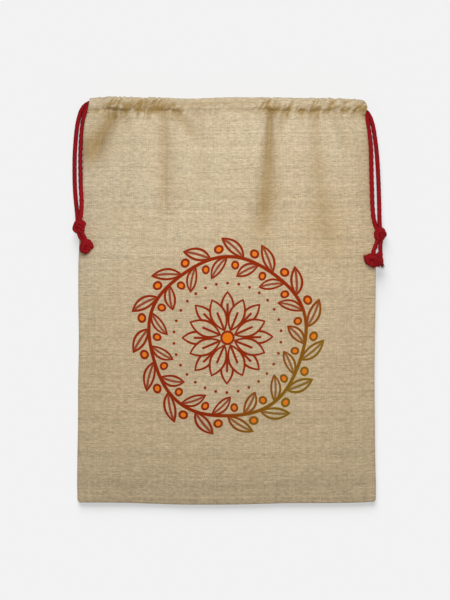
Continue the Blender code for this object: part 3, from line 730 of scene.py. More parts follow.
# The frayed tips: where each bundle of fibres starts and which way it points.
Fray = namedtuple("Fray", "node start towards length count")
FRAYS = [
    Fray("knot_right_end", (155.8, 37.8, 9.4), (0.20, -1.0, -0.05), 6.5, 60),
    Fray("knot_right_end", (152.4, 37.6, 10.2), (0.30, -1.0, -0.05), 5.0, 40),
    Fray("knot_right_end", (140.6, 43.2, 12.8), (-1.0, 0.5, 0.2), 4.8, 60),
    Fray("knot_left_end", (-142.0, 49.4, 12.0), (-0.3, -1.0, -0.15), 3.2, 36),
]
FIBRE = 0.5  # thickness of a fibre
FIBRE_SPREAD, FIBRE_ROOT = 0.36, 1.5  # how far fibres lean apart, and how far apart they start
FIBRE_SHORTEST = 0.6  # as a share of the longest
YARN_MIDDLE = 0.5 / BRAID_STRANDS  # the share around where a yarn is not in a groove


def smooth_route(points):
    """Points about ROUTE_STEP apart on a smooth curve through the given ones."""
    points = [Vector(point) for point in points]
    lengths = [0.0]
    for start, end in zip(points, points[1:]):
        lengths.append(lengths[-1] + (end - start).length)
    tables = [[(at, point[axis]) for at, point in zip(lengths, points)] for axis in range(3)]
    route = [points[0]]
    for start, end in zip(lengths, lengths[1:]):
        pieces = max(1, round((end - start) / ROUTE_STEP))
        for i in range(1, pieces + 1):
            at = start + (end - start) * i / pieces
            route.append(Vector([through(table, at) for table in tables]))
    return route


def braid_bulge(around, along):
    """How proud the braid stands at a place on it, from 0 in a groove to 1."""
    one = BRAID_STRANDS * around + along / (2 * BRAID_CELL)
    other = BRAID_STRANDS * around - along / (2 * BRAID_CELL)
    over = (np.floor(one) + np.floor(other)) % 2 < 1
    across = np.where(over, one, other) % 1.0
    lengthwise = np.where(over, other, one) % 1.0
    crest = np.sqrt(np.clip(1 - (2 * across - 1) ** 2, 0.0, 1.0))
    return crest * (YARN_UNDER + (1 - YARN_UNDER) * np.sin(math.pi * lengthwise))


def braided_tube(bm, uv, route, diameter):
    """Adds a closed braided tube along a route; its map holds metres along, and the share around."""
    places = np.array(route)
    ahead = np.gradient(places, axis=0)
    ahead /= np.linalg.norm(ahead, axis=1)[:, None]
    steps = np.linalg.norm(np.diff(places, axis=0), axis=1)
    along = np.concatenate([[0.0], np.cumsum(steps)])
    side = np.cross(ahead[0], (0.0, 0.0, 1.0))
    if np.linalg.norm(side) < 0.1:
        side = np.cross(ahead[0], (1.0, 0.0, 0.0))
    shares = np.arange(AROUND) / AROUND
    rings = []
    for i, place in enumerate(places):
        side = side - ahead[i] * (side @ ahead[i])
        side /= np.linalg.norm(side)
        up = np.cross(ahead[i], side)
        end = min(along[i], along[-1] - along[i]) / END_ROUND
        shrink = math.sqrt(max(0.0, 1 - (1 - min(end, 1.0)) ** 2))
        bulge = braid_bulge(shares, along[i])
        radius = diameter / 2 * (1 - BRAID_DEEP + BRAID_DEEP * bulge) * max(shrink, END_LEAST)
        ring = [
            bm.verts.new((place + r * (math.cos(a) * side + math.sin(a) * up)) * MM)
            for r, a in zip(radius, 2 * math.pi * shares)
        ]
        rings.append(ring)
    for i, (ring, after) in enumerate(zip(rings, rings[1:])):
        for k in range(AROUND):
            j = (k + 1) % AROUND
            face = bm.faces.new((ring[k], ring[j], after[j], after[k]))
            marks = ((i, k), (i, k + 1), (i + 1, k + 1), (i + 1, k))
            for loop, (row, share) in zip(face.loops, marks):
                loop[uv].uv = (along[row] * MM, share / AROUND)
    bm.faces.new(list(reversed(rings[0])))
    bm.faces.new(rings[-1])


def mesh_piece(name, bm):
    """The finished mesh as an object at the origin."""
    mesh = bpy.data.meshes.new(name)
    bm.to_mesh(mesh)
    bm.free()
    mesh.shade_smooth()
    piece = bpy.data.objects.new(name, mesh)
    bpy.context.scene.collection.objects.link(piece)
    return piece


def make_cord(name, points):
    """A braided cord along its route, and the route that was followed."""
    route = smooth_route(points)
    bm = bmesh.new()
    uv = bm.loops.layers.uv.new("braid")
    braided_tube(bm, uv, route, CORD)
    return mesh_piece(name, bm), route


def knot_strands(knot):
    """The two strands' routes, side by side on the knot's round surface."""
    lean = Matrix.Rotation(math.radians(knot.lean), 3, "Y")
    turn = Matrix.Rotation(math.radians(knot.turn), 3, "Z")
    centre, reach = Vector(knot.centre), Vector(knot.reach)
    way = []
    for number, place in enumerate(KNOT_WAY):
        wander = noise.noise_vector((UNEVEN_STEP * number, *knot.centre[:2])) * (2 * KNOT_UNEVEN)
        way.append(centre + lean @ turn @ Vector([(a + c) * b for a, b, c in zip(place, reach, wander)]))
    ahead = [(after - before).normalized() for before, after in zip([way[0], *way], [*way[1:], way[-1]])]
    strands = []
    for neck, side in zip(NECKS[knot.node], (1, -1)):
        beside = []
        for place, direction in zip(way, ahead):
            out = (place - centre).normalized()
            beside.append(place + direction.cross(out).normalized() * (side * KNOT_APART))
        tail = [beside[-1] + ahead[-1] * knot.tail] if knot.tail else []
        strands.append([Vector(point) for point in neck[:-1]] + beside[1:] + tail)
    return strands


def make_knot(knot):
    """An overhand knot of the doubled cord, with the strands that lead into it."""
    bm = bmesh.new()
    uv = bm.loops.layers.uv.new("braid")
    for strand in knot_strands(knot) + TAILS.get(knot.node, []):
        braided_tube(bm, uv, smooth_route(strand), KNOT_CORD)
    reach = Vector(knot.reach) * KNOT_CORE
    place = Matrix.Translation(Vector(knot.centre) * MM)
    turn = Matrix.Rotation(math.radians(knot.lean), 4, "Y") @ Matrix.Rotation(math.radians(knot.turn), 4, "Z")
    bmesh.ops.create_uvsphere(
        bm, u_segments=16, v_segments=10, radius=MM,
        matrix=place @ turn @ Matrix.Diagonal((*reach, 1.0)),
    )
    for fray in FRAYS:
        if fray.node == knot.node:
            add_fray(bm, uv, fray)
    return mesh_piece(knot.name, bm)


def add_fray(bm, uv, fray):
    """A bundle of loose yarns, each a long three-sided spike."""
    towards = Vector(fray.towards).normalized()
    for _ in range(fray.count):
        drift = noise.random_unit_vector() * FIBRE_SPREAD
        start = Vector(fray.start) + noise.random_unit_vector() * FIBRE_ROOT
        way = (towards + drift).normalized()
        tip = start + way * fray.length * (FIBRE_SHORTEST + (1 - FIBRE_SHORTEST) * noise.random())
        side = way.orthogonal().normalized() * (FIBRE / 2)
        turns = (0.0, 2.1, 4.2)  # about a third of a turn apart
        ring = [bm.verts.new((start + Matrix.Rotation(turn, 3, way) @ side) * MM) for turn in turns]
        end = bm.verts.new(tip * MM)
        for k in range(3):
            face = bm.faces.new((ring[k], ring[(k + 1) % 3], end))
            for loop in face.loops:
                loop[uv].uv = (0.0, YARN_MIDDLE)


# ---------------------------------------------------------------- stitches

STITCH = 3.1  # length of a stitch
STITCH_PITCH = 3.7
THREAD = 0.5  # thickness of the thread
STITCH_SUNK = 0.18  # how deep it lies in the cloth
STITCH_DIP = 0.18  # how far its ends dip, as a share of the thread
STITCH_STRAY, STITCH_STRAY_LONG = 0.25, 9.0  # how far the row strays, and over what length
SEAM_END = 11.0  # how far from the sides the row of stitches starts
SEAM_Y = 186.0  # where the sides are measured for that


def plain_stitch():
    """One stitch lying along X: a rounded bar that dips into the cloth at its ends."""
    bpy.ops.object.select_all(action="DESELECT")
    bpy.ops.mesh.primitive_uv_sphere_add(segments=8, ring_count=6, radius=THREAD / 2 * MM)
    stitch = bpy.context.object
    stitch.name = "stitch"
    for vertex in stitch.data.vertices:
        x, y, z = vertex.co
        dip = STITCH_DIP * THREAD * MM * (2 * z / THREAD / MM) ** 4
        vertex.co = (z * STITCH / THREAD, y, -x - dip)
    stitch.data.shade_smooth()
    return stitch


def back_stitch_height(x, y):
    """The height of the back's outside where its stitches pull it up."""
    return back_height(x, y) + STITCH_DIMPLE


def make_stitches(name, height_of, side):
    """The row of stitches along a casing, on its outside; side is 1 above the cloth, -1 below."""
    pattern = plain_stitch()
    low, high = -left_edge(SEAM_Y) + SEAM_END, right_edge(SEAM_Y) - SEAM_END
    count = round((high - low) / STITCH_PITCH)
    copies = []
    for i in range(count):
        start = low + (high - low) * (i + 0.5) / count
        ends = []
        for x in (start - STITCH / 2, start + STITCH / 2):
            y = float(seam_line(x)) + STITCH_STRAY * noise.noise((x / STITCH_STRAY_LONG, 3.1, 0.0))
            ends.append(Vector((x, y, float(height_of(np.array([x]), np.array([y]))[0]))))
        along = ends[1] - ends[0]
        middle = (ends[0] + ends[1]) / 2 + Vector((0, 0, side * (THREAD / 2 - STITCH_SUNK)))
        turn = along.to_track_quat("X", "Z").to_matrix().to_4x4()
        if side < 0:
            turn = turn @ Matrix.Rotation(math.pi, 4, "X")
        copy = pattern.copy()
        copy.data = pattern.data.copy()
        copy.data.transform(Matrix.Translation(middle * MM) @ turn)
        bpy.context.scene.collection.objects.link(copy)
        copies.append(copy)
    bpy.data.objects.remove(pattern)
    select_only(*copies)
    bpy.ops.object.join()
    row = bpy.context.object
    row.name = row.data.name = name
    return row


# ---------------------------------------------------------------- finishes

TO_MM = 1000.0  # from the maps' metres

# The weave
WARP_PITCH, WEFT_PITCH = 0.98, 1.04  # from yarn to yarn
YARN_STRAY, STRAY_SHORT, STRAY_LONG = 0.9, 7.0, 30.0  # how far a yarn strays, and over what lengths
WEFT_SLUB, WEFT_SPECK, WARP_SLUB = 14.0, 4.2, 12.0  # lengths of its uneven places
SLUB_APART, SPECK_APART = 3.7, 5.3  # keeps one yarn's uneven places apart from the next one's
SPECK_SHARE = 0.62  # of all that makes a weft yarn uneven
WEFT_WIDTH, WEFT_SWELL, WARP_WIDTH, WARP_SWELL = 0.72, 0.42, 0.70, 0.35  # shares of the pitch
WEFT_DIVE, WARP_DIVE = 0.40, 0.45  # how far a yarn goes down under the next
WEFT_PALE, WARP_PALE = 1.9, 0.7  # how much paler a yarn is where it is thick
WEFT_OWN, WARP_OWN = 0.22, 0.3  # how much one yarn differs from the next
WARP_SHOWN, WEFT_THROUGH = 0.6, 0.2  # how much of the warp's shows, and of the weft's everywhere
GAP_STEEP = 2.2  # 1 over the height below which there is a gap between yarns
WEAVE_DEEP, CORD_ROUGH, TWIST_DEEP = 0.26, 0.16, 0.05  # relief of the cloth, the cords and the thread

CLOTH_COLOUR = (0.590, 0.462, 0.290)
YARN_DARK, YARN_PALE = 0.52, 1.46  # an uneven yarn's thin and thick places
PALE_COLOUR = (0.615, 0.505, 0.342)  # where it is paler, towards the mouth
PALE_FROM, PALE_OVER, PALE_ACROSS, PALE_PATCHY = 25.0, 120.0, 260.0, 0.6
AGED_COLOUR, AGED = (0.50, 0.36, 0.215), 0.18  # in the patches of uneven dye
PATCH, PATCH_FROM, PATCH_STEEP = 46.0, 0.3, 2.2  # their size, and how they stand out
# Painted shade: its brown colour and how strongly it shows
SHADE_COLOUR, SHADE_MIX = (0.285, 0.157, 0.016), 0.85
SHADE_LEAST, SHADE_PATCHY = 0.72, 0.36  # painted shade shows more in those patches
GAP_SHADE, GAP_SHADE_SHARE = 0.35, 0.42  # painted shade down between the yarns
CORD_COLOUR = (0.335, 0.0038, 0.0080)
CORD_DARK, CORD_PALE, CORD_GRUBBY, CORD_GROOVE_SHADE = 0.62, 1.45, 0.42, 0.22  # shares of that colour; the last is painted shade in the braid's grooves
GRUBBY = 0.55  # how much of the grubby colour shows where a cord is grubbiest
FIBRES_ALONG, FIBRES_AROUND, GRUBBY_ALONG, GRUBBY_AROUND = 1400.0, 34.0, 90.0, 2.0  # in a metre, round
# Painted shade down in the braid's grooves
GROOVE_FROM, GROOVE_STEEP, GROOVE_SHADE = 0.62, 2.6, 0.75
THREAD_COLOUR = (0.62, 0.50, 0.34)
# Painted shade in the grooves of the thread's twist, and paler ridges
THREAD_SHADED, THREAD_LIT = 0.7, 1.15
THREAD_TWIST, TWIST_SLANT = 0.45, 1.4  # from turn to turn, and how slanting

# The print: a wreath of leaves and berries round a flower, as lines
PRINT_CENTRE = (0.6, -38.7)
LINE = 3.5  # width of its heavy lines
FINE_LINE = 2.4
INK_EDGE = 0.45  # over which a line's edge softens
INK_SUNK = 0.10  # how much less ink there is between the yarns
WREATH = 80.0  # radius of the stem
WREATH_WAVE, WREATH_WAVES = 1.6, 5
LEAVES = 15  # on each side of the stem
LEAF_LENGTH, LEAF_WIDTH = 27.0, 5.0
LEAF_LEAN = 0.72  # radians from the stem
LEAF_START, LEAF_BACK = 1.0, 0.30  # off the stem, and back along it as a share of its length
RIB_INK = 0.9
BERRY, BERRY_OUT = 3.4, 8.0
PETALS = 8
PETAL_START, PETAL_LENGTH, PETAL_WIDTH = 8.0, 33.0, 7.6
BACK_START, BACK_LENGTH, BACK_WIDTH = 2.2, 0.86, 0.8  # the second row's, as shares of the first's
PETAL_RIB = 0.6
BUTTON = 6.2  # radius of the flower's middle
DOTS, DOT_RING, DOT = 30, 55.0, 1.5
RUST = (0.290, 0.022, 0.0003)
OCHRE = (0.245, 0.125, 0.004)
OCHRE_WAY, OCHRE_FROM, OCHRE_OVER = (0.8, -0.6), 38.0, 45.0  # the rust turns to ochre that way
ORANGE = (0.860, 0.200, 0.004)


def feed(tree, node, values):
    """Links fields to a node's sockets, or sets them to plain values."""
    for name, value in values.items():
        value = value.value if isinstance(value, Field) else value
        if isinstance(value, bpy.types.NodeSocket):
            tree.links.new(value, node.inputs[name])
        else:
            node.inputs[name].default_value = value


def new_node(tree, kind, values, **settings):
    """What a new shader node with these settings and fed sockets gives: fields by their names."""
    node = tree.nodes.new(kind)
    for name, setting in settings.items():
        setattr(node, name, setting)
    feed(tree, node, values)
    return {socket.name: Field(tree, socket) for socket in node.outputs if socket.enabled}


def joined(operation):
    """A method that joins a field to others by this operation."""
    return lambda field, *others: field.join(operation, *others)


class Field:
    """What changes over the surface, in a shader, so that a pattern is written as a sum."""

    def __init__(self, tree, value):
        self.tree = tree
        self.value = value

    def join(self, operation, *others):
        values = dict(enumerate((self, *others)))
        return new_node(self.tree, "ShaderNodeMath", values, operation=operation)["Value"]

    def __rsub__(self, other):
        return Field(self.tree, other) - self

    def within(self):
        """Held between 0 and 1."""
        return new_node(self.tree, "ShaderNodeClamp", {"Value": self})["Result"]

    __add__ = __radd__ = joined("ADD")
    __mul__ = __rmul__ = joined("MULTIPLY")
    __sub__ = joined("SUBTRACT")
    __truediv__ = joined("DIVIDE")
    floor = joined("FLOOR")
    part = joined("FRACT")
    size = joined("ABSOLUTE")
    root = joined("SQRT")
    cosine = joined("COSINE")
    sine = joined("SINE")
    power = joined("POWER")
    least = joined("MINIMUM")
    most = joined("MAXIMUM")
    above = joined("GREATER_THAN")
    turn_to = joined("ARCTAN2")  # the angle of a place, from its height and its side


def vector_of(x, y, z=0.0):
    """A vector of fields or plain values; the first is a field."""
    return new_node(x.tree, "ShaderNodeCombineXYZ", {"X": x, "Y": y, "Z": z})["Vector"]


def parts_of(vector):
    """A vector's three parts."""
    return new_node(vector.tree, "ShaderNodeSeparateXYZ", {0: vector}).values()


def scaled(vector, by):
    """A vector times a number."""
    values = {0: vector, "Scale": by}
    return new_node(vector.tree, "ShaderNodeVectorMath", values, operation="SCALE")["Vector"]


def clouds(vector, detail=1.0, roughness=0.5):
    """Soft noise from 0 to 1 over a vector."""
    values = {"Vector": vector, "Scale": 1.0, "Detail": detail, "Roughness": roughness}
    return new_node(vector.tree, "ShaderNodeTexNoise", values)["Fac"]


def chance(vector):
    """A different number from 0 to 1 for each whole vector."""
    values = {"Vector": vector}
    return new_node(vector.tree, "ShaderNodeTexWhiteNoise", values, noise_dimensions="3D")["Value"]


def blend_colours(share, *colours):
    """The first colour where the share is 0, the second where it is 1."""
    first, second = [(*each, 1.0) if isinstance(each, tuple) else each for each in colours]
    values = {"Factor": share, "A": first, "B": second}
    return new_node(share.tree, "ShaderNodeMix", values, data_type="RGBA")["Result"]


def new_group(name, numbers, outputs):
    """An empty shader group over a cloth's map in metres: (tree, its inputs as fields, output node)."""
    tree = bpy.data.node_groups.new(name, "ShaderNodeTree")
    tree.interface.new_socket(name="Cloth", in_out="INPUT", socket_type="NodeSocketVector")
    for label, value in numbers.items():
        socket = tree.interface.new_socket(name=label, in_out="INPUT", socket_type="NodeSocketFloat")
        socket.default_value = value
    for label in outputs:
        tree.interface.new_socket(name=label, in_out="OUTPUT", socket_type="NodeSocketFloat")
    return tree, new_node(tree, "NodeGroupInput", {}), tree.nodes.new("NodeGroupOutput")


def add_group(group, values):
    """A shader group fed with these values: its outputs as fields."""
    return new_node(values["Cloth"].tree, "ShaderNodeGroup", values, node_tree=group)


def woven_group():
    """Plain weave of uneven yarns: its height, how light each yarn is, and the gaps between them."""
    tree, given, out = new_group(
        "woven yarns", {"Warp mm": 1.0, "Weft mm": 1.0}, ["Height", "Light", "Gap"]
    )
    u, v, _ = parts_of(scaled(given["Cloth"], TO_MM))
    stray_u = clouds(vector_of(u / STRAY_SHORT, v / STRAY_LONG)) - 0.5
    stray_v = clouds(vector_of(u / STRAY_LONG, v / STRAY_SHORT, 4.0)) - 0.5
    warp = (u + stray_u * YARN_STRAY) / given["Warp mm"]
    weft = (v + stray_v * YARN_STRAY) / given["Weft mm"]
    warp_number, weft_number = warp.floor(), weft.floor()

    # Slubs: each yarn thickens and lightens along its length in its own way.
    weft_long = clouds(vector_of(u / WEFT_SLUB, weft_number * SLUB_APART, 1.0), 2.0, 0.6)
    weft_short = clouds(vector_of(u / WEFT_SPECK, weft_number * SPECK_APART, 2.0))
    warp_long = clouds(vector_of(warp_number * SLUB_APART, v / WARP_SLUB, 3.0), 1.0, 0.6)
    weft_own = chance(vector_of(weft_number, 0.0, 5.0))
    warp_own = chance(vector_of(warp_number, 0.0, 6.0))
    weft_slub = weft_long * (1 - SPECK_SHARE) + weft_short * SPECK_SHARE

    def crest(place, width):
        """The round of a yarn across its width."""
        off = (place.part() - 0.5) * 2.0 / width
        return (1.0 - off * off).most(0.0).root()

    def rise(own_number, other_place):
        """1 where a yarn lies on top, -1 where it lies below."""
        sign = 1.0 - 2.0 * ((own_number * 0.5).part() * 2.0)
        return ((other_place - 0.5) * math.pi).cosine() * sign

    warp_high = (1 - WARP_DIVE) + rise(warp_number, weft) * WARP_DIVE
    warp_high = crest(warp, WARP_WIDTH + warp_long * WARP_SWELL) * warp_high
    weft_high = (1 - WEFT_DIVE) - rise(weft_number, warp) * WEFT_DIVE
    weft_high = crest(weft, WEFT_WIDTH + weft_slub * WEFT_SWELL) * weft_high
    height = warp_high.most(weft_high)
    on_top = (weft_high - warp_high).above(0.0)
    weft_light = (weft_slub - 0.5) * WEFT_PALE + (weft_own - 0.5) * WEFT_OWN
    warp_light = (warp_long - 0.5) * WARP_PALE + (warp_own - 0.5) * WARP_OWN
    light = 0.5 + on_top * weft_light + (1.0 - on_top) * warp_light * WARP_SHOWN
    feed(tree, out, {
        "Height": height,
        "Light": (light + weft_light * WEFT_THROUGH).within(),
        "Gap": (1.0 - height * GAP_STEEP).within(),
    })
    return tree


def drawn(inside):
    """1 inside a shape, from its depth in mm, with the soft edge of printing ink."""
    return (inside / INK_EDGE + 0.5).within()


def stroke(inside, width):
    """A line along a shape's edge."""
    return drawn(width / 2 - inside.size())


def pointed_leaf(along, across, start, length, width):
    """Depth inside a leaf that is pointed at both ends."""
    share = (along - start) / length
    return share * (1.0 - share) * (4 * width) - across.size()


def wreath_group():
    """A wreath of leaves and berries round a flower: its lines, what is orange, where lines are ochre."""
    tree, given, out = new_group("printed wreath", {}, ["Ink", "Orange", "Ochre"])
    x, y, _ = parts_of(given["Cloth"])
    x = x * TO_MM - PRINT_CENTRE[0]
    y = y * TO_MM - PRINT_CENTRE[1]
    radius = (x * x + y * y).root()
    round_share = y.turn_to(x) / (2 * math.pi)

    def sector(count, shift):
        """Radians from the middle line of the nearest of so many equal sectors."""
        return ((round_share * count + (shift + count)).part() - 0.5) * (2 * math.pi / count)

    # The stem, with leaves and berries that lean off it on both sides
    wave = (round_share * (2 * math.pi * WREATH_WAVES)).sine() * WREATH_WAVE
    off_stem = radius - wave - WREATH
    ink = stroke(off_stem, LINE)
    lean_along, lean_across = math.cos(LEAF_LEAN), math.sin(LEAF_LEAN)
    fills, rims = [], []
    for side, shift in ((1.0, 0.0), (-1.0, 0.5)):
        out_from_stem = off_stem * side
        around = sector(LEAVES, shift) * WREATH + LEAF_LENGTH * LEAF_BACK
        along = around * lean_along + out_from_stem * lean_across
        across = out_from_stem * lean_along - around * lean_across
        leaf = pointed_leaf(along, across, LEAF_START, LEAF_LENGTH, LEAF_WIDTH)
        rib = drawn((FINE_LINE / 2 - across.size()).least(leaf))
        ink = ink.most(stroke(leaf, FINE_LINE)).most(rib * RIB_INK)
        around = sector(LEAVES, shift + 0.5) * WREATH
        up = out_from_stem - BERRY_OUT
        berry = BERRY - (around * around + up * up).root()
        fills.append(drawn(berry))
        rims.append(stroke(berry, FINE_LINE))

    # The flower, with a second row of petals behind the first
    petals = []
    for shift, start, length, width in (
        (0.0, PETAL_START, PETAL_LENGTH, PETAL_WIDTH),
        (0.5, PETAL_START * BACK_START, PETAL_LENGTH * BACK_LENGTH, PETAL_WIDTH * BACK_WIDTH),
    ):
        turn = sector(PETALS, shift)
        along, across = radius * turn.cosine(), radius * turn.sine()
        petal = pointed_leaf(along, across, start, length, width)
        rib = (FINE_LINE / 2 - across.size()).least(petal).least(start + length * PETAL_RIB - along)
        petals.append((petal, stroke(petal, FINE_LINE).most(drawn(rib))))
    (front_petal, front_lines), (_, back_lines) = petals
    ink = ink.most(back_lines * (1.0 - drawn(front_petal))).most(front_lines)
    button = BUTTON - radius
    fills.append(drawn(button))
    rims.append(stroke(button, FINE_LINE))
    around, up = sector(DOTS, 0.0) * DOT_RING, radius - DOT_RING
    ink = ink.most(drawn(DOT - (around * around + up * up).root()))

    fill = fills[0].most(fills[1]).most(fills[2])
    rim = rims[0].most(rims[1]).most(rims[2])
    ochre = (x * OCHRE_WAY[0] + y * OCHRE_WAY[1] - OCHRE_FROM) / OCHRE_OVER
    feed(tree, out, {"Ink": ink.most(rim), "Orange": fill * (1.0 - rim), "Ochre": ochre.within()})
    return tree


def aged_group():
    """How dyes and handling darken a cloth here and there."""
    tree, given, out = new_group("uneven dye", {"Patch mm": 40.0}, ["Share"])
    patches = clouds(scaled(given["Cloth"], given["Patch mm"].power(-1.0) * TO_MM), 3.0, 0.55)
    feed(tree, out, {"Share": ((patches - PATCH_FROM) * PATCH_STEEP).within()})
    return tree


def new_material(name):
    made = bpy.data.materials.new(name)
    made.use_nodes = True
    return made, made.node_tree, made.node_tree.nodes["Principled BSDF"]


def uv_of(tree, name):
    """A piece's map of that name."""
    return new_node(tree, "ShaderNodeUVMap", {}, uv_map=name)["UV"]


def bump(height, distance):
    """The normal of a surface with this relief."""
    values = {"Distance": distance * MM, "Height": height}
    return new_node(height.tree, "ShaderNodeBump", values)["Normal"]


def shade(colour, share):
    """A colour made darker or paler."""
    return tuple(min(1.0, share * c) for c in colour)


def burlap_material(name, woven, aged, wreath=None):
    """Coarse cloth of uneven yarns, printed with the wreath where that is given, with painted shade in its
    folds and gathers and between its yarns.
    """
    made, tree, shader = new_material(name)
    cloth = uv_of(tree, "cloth")
    weave = add_group(woven, {"Cloth": cloth, "Warp mm": WARP_PITCH, "Weft mm": WEFT_PITCH})
    patch = add_group(aged, {"Cloth": cloth, "Patch mm": PATCH})["Share"]
    light, gap = weave["Light"], weave["Gap"]
    warm, pale = [
        blend_colours(light, shade(colour, YARN_DARK), shade(colour, YARN_PALE))
        for colour in (CLOTH_COLOUR, PALE_COLOUR)
    ]
    across, along, _ = parts_of(cloth)
    mouthward = (along * TO_MM - PALE_FROM) / PALE_OVER - across * (TO_MM / PALE_ACROSS)
    paler = (mouthward + (0.5 - patch) * PALE_PATCHY).within()
    colour = blend_colours(paler, warm, pale)
    colour = blend_colours(patch * AGED, colour, AGED_COLOUR)
    if wreath:
        ink = add_group(wreath, {"Cloth": cloth})
        sunk = 1.0 - gap * INK_SUNK
        colour = blend_colours(ink["Ink"] * sunk, colour, blend_colours(ink["Ochre"], RUST, OCHRE))
        colour = blend_colours(ink["Orange"] * sunk, colour, ORANGE)
    # Painted shade, browner, in the folds and gathers, along the stitches and beside the right cord
    painted_shade = new_node(tree, "ShaderNodeAttribute", {}, attribute_name="painted_shade")["Fac"]
    shade_share = painted_shade * SHADE_MIX * (SHADE_LEAST + patch * SHADE_PATCHY)
    colour = blend_colours(shade_share, colour, SHADE_COLOUR)
    feed(tree, shader, {
        # painted shade down between the yarns
        "Base Color": blend_colours(gap * GAP_SHADE_SHARE, colour, shade(CLOTH_COLOUR, GAP_SHADE)),
        "Roughness": 0.97 - light * 0.12,
        "Specular IOR Level": 0.05,
        "Normal": bump(weave["Height"], WEAVE_DEEP),
    })
    return made


def cord_material(name):
    """Dyed braid: fibres along the yarns, painted shade down in the grooves, and darker where it is grubby.
    """
    made, tree, shader = new_material(name)
    along, around, _ = parts_of(uv_of(tree, "braid"))
    fibre = clouds(vector_of(along * FIBRES_ALONG, around * FIBRES_AROUND), 2.0, 0.6)
    grubby = clouds(vector_of(along * GRUBBY_ALONG, around * GRUBBY_AROUND, 2.0))
    yarn = along * (TO_MM / (2 * BRAID_CELL))
    one, other = around * BRAID_STRANDS + yarn, around * BRAID_STRANDS - yarn
    over = ((one.floor() + other.floor()) * 0.5).part().size() * 2.0
    across = (one.part() + over * (other.part() - one.part()) - 0.5).size() * 2.0
    groove = ((across - GROOVE_FROM) * GROOVE_STEEP).within()
    colour = blend_colours(fibre, shade(CORD_COLOUR, CORD_DARK), shade(CORD_COLOUR, CORD_PALE))
    colour = blend_colours(grubby * GRUBBY, colour, shade(CORD_COLOUR, CORD_GRUBBY))
    feed(tree, shader, {
        # painted shade down in the braid's grooves
        "Base Color": blend_colours(groove * GROOVE_SHADE, colour, shade(CORD_COLOUR, CORD_GROOVE_SHADE)),
        "Roughness": 0.85,
        "Specular IOR Level": 0.18,
        "Normal": bump(fibre * 0.5 + (1.0 - groove) * 0.5, CORD_ROUGH),
    })
    return made


def thread_material(name):
    """Sewing thread, its twist as slanting bands: painted shade in the grooves between its turns, paler on
    their ridges.
    """
    made, tree, shader = new_material(name)
    x, y, z = parts_of(new_node(tree, "ShaderNodeTexCoord", {})["Object"])
    turns = (x * TO_MM + (y + z) * (TWIST_SLANT * TO_MM)) / THREAD_TWIST
    twist = (turns * (2 * math.pi)).sine() * 0.5 + 0.5
    feed(tree, shader, {
        "Base Color": blend_colours(
            twist, shade(THREAD_COLOUR, THREAD_SHADED), shade(THREAD_COLOUR, THREAD_LIT)
        ),
        "Roughness": 0.8,
        "Normal": bump(twist, TWIST_DEEP),
    })
    return made


# ---------------------------------------------------------------- the studio

SHOWN = 600 * 1.0067  # the picture's height at the sack: its pixels by the mm in one
AIM = (-1.9, 0.6)  # the middle of the picture
CAMERA_HIGH = 2000.0  # above the sack's middle height
SACK_MIDDLE = 8.0  # that height
SENSOR = 36.0
FLOOR_SIZE = 30.0  # in metres
FLOOR_GLOW = 0.503  # the floor's own light, which keeps it even and pale
FLOOR_GREY = 0.25
ROOM_LIGHT = 0.27
WHITE = (1.0, 1.0, 1.0, 1.0)
SUN_FROM = (-0.20, 1.3, 0.85)
SUN_POWER, SUN_SOFT = 7.4, 0.75  # for the floor alone, so that it is lit evenly
KEY_FROM, KEY_SIZE, KEY_POWER = (0.03, 0.26, 0.67), 0.45, 4.4  # for the sack alone


def make_camera():
    camera = bpy.data.cameras.new("camera")
    camera.sensor_width = SENSOR
    camera.lens = SENSOR * CAMERA_HIGH / SHOWN
    camera.clip_start, camera.clip_end = 0.1, 40.0
    stand = bpy.data.objects.new("camera", camera)
    stand.location = Vector((*AIM, CAMERA_HIGH + SACK_MIDDLE)) * MM
    bpy.context.scene.collection.objects.link(stand)
    bpy.context.scene.camera = stand


def make_light(name, kind, place, lit):
    """A light that shines towards the sack's middle, on these pieces alone."""
    light = bpy.data.lights.new(name, kind)
    stand = bpy.data.objects.new(name, light)
    stand.location = place
    stand.rotation_euler = (-Vector(place)).to_track_quat("-Z", "Y").to_euler()
    bpy.context.scene.collection.objects.link(stand)
    receivers = bpy.data.collections.new(f"lit by the {name}")
    for piece in lit:
        receivers.objects.link(piece)
    stand.light_linking.receiver_collection = receivers
    return light


def make_floor():
    bpy.ops.mesh.primitive_plane_add(size=FLOOR_SIZE, location=(0, 0, 0))
    floor = bpy.context.object
    floor.name = "floor"
    made, tree, shader = new_material("pale floor")
    feed(tree, shader, {
        "Base Color": (FLOOR_GREY, FLOOR_GREY, FLOOR_GREY, 1.0), "Roughness": 1.0,
        "Specular IOR Level": 0.0, "Emission Color": WHITE, "Emission Strength": FLOOR_GLOW,
    })
    floor.data.materials.append(made)
    return floor


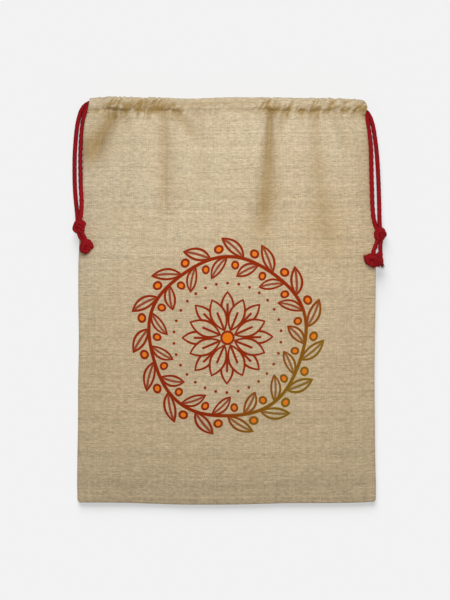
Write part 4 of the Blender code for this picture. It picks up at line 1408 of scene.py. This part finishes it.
def make_world():
    world = bpy.data.worlds.new("studio")
    bpy.context.scene.world = world
    world.use_nodes = True
    tree = world.node_tree
    feed(tree, tree.nodes["Background"], {"Color": WHITE, "Strength": ROOM_LIGHT})


# ---------------------------------------------------------------- all of it


def main():
    bpy.ops.object.select_all(action="DESELECT")
    noise.seed_set(7)
    make_camera()
    cord_left, left_route = make_cord("left_drawcord", CORD_LEFT)
    cord_right, right_route = make_cord("right_drawcord", CORD_RIGHT)
    knots = {knot.node: make_knot(knot) for knot in KNOTS}
    front, back = [make_panel(grid) for grid in PANELS]
    stitches = [
        make_stitches("front_stitches", front_height, 1),
        make_stitches("back_stitches", back_stitch_height, -1),
    ]

    woven, aged = woven_group(), aged_group()
    burlap = burlap_material("burlap", woven, aged)
    printed = burlap_material("printed burlap", woven, aged, wreath_group())
    braid = cord_material("red braid")
    thread = thread_material("sewing thread")
    for piece, outside in ((front, printed), (back, burlap)):
        piece.data.materials[0] = outside
        piece.data.materials[1] = burlap
    red = (cord_left, cord_right, *knots.values())
    for piece in red:
        piece.data.materials.append(braid)
    for piece in stitches:
        piece.data.materials.clear()
        piece.data.materials.append(thread)

    floor = make_floor()
    make_world()
    sun = make_light("sun", "SUN", SUN_FROM, [floor])
    sun.energy, sun.angle = SUN_POWER, SUN_SOFT
    key = make_light("key lamp", "AREA", KEY_FROM, [front, back, *stitches, *red])
    key.shape, key.size, key.energy = "DISK", KEY_SIZE, KEY_POWER
    bpy.context.scene.view_settings.view_transform = "Standard"

    for piece in (front, back, *stitches):
        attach(piece, "root")
    for piece in red:
        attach(piece, "root")
    for piece, node in ((front, "front_panel"), (back, "back_panel"),
                        (cord_left, "cord_left"), (cord_right, "cord_right")):
        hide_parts(node)
    for node, piece in knots.items():
        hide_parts(node)
    for piece, row, lies_on in ((front, stitches[0], [back]), (back, stitches[1], [])):
        cloth = np.zeros(len(piece.data.loops) * 2, np.float32)
        piece.data.uv_layers["cloth"].data.foreach_get("uv", cloth)


main()
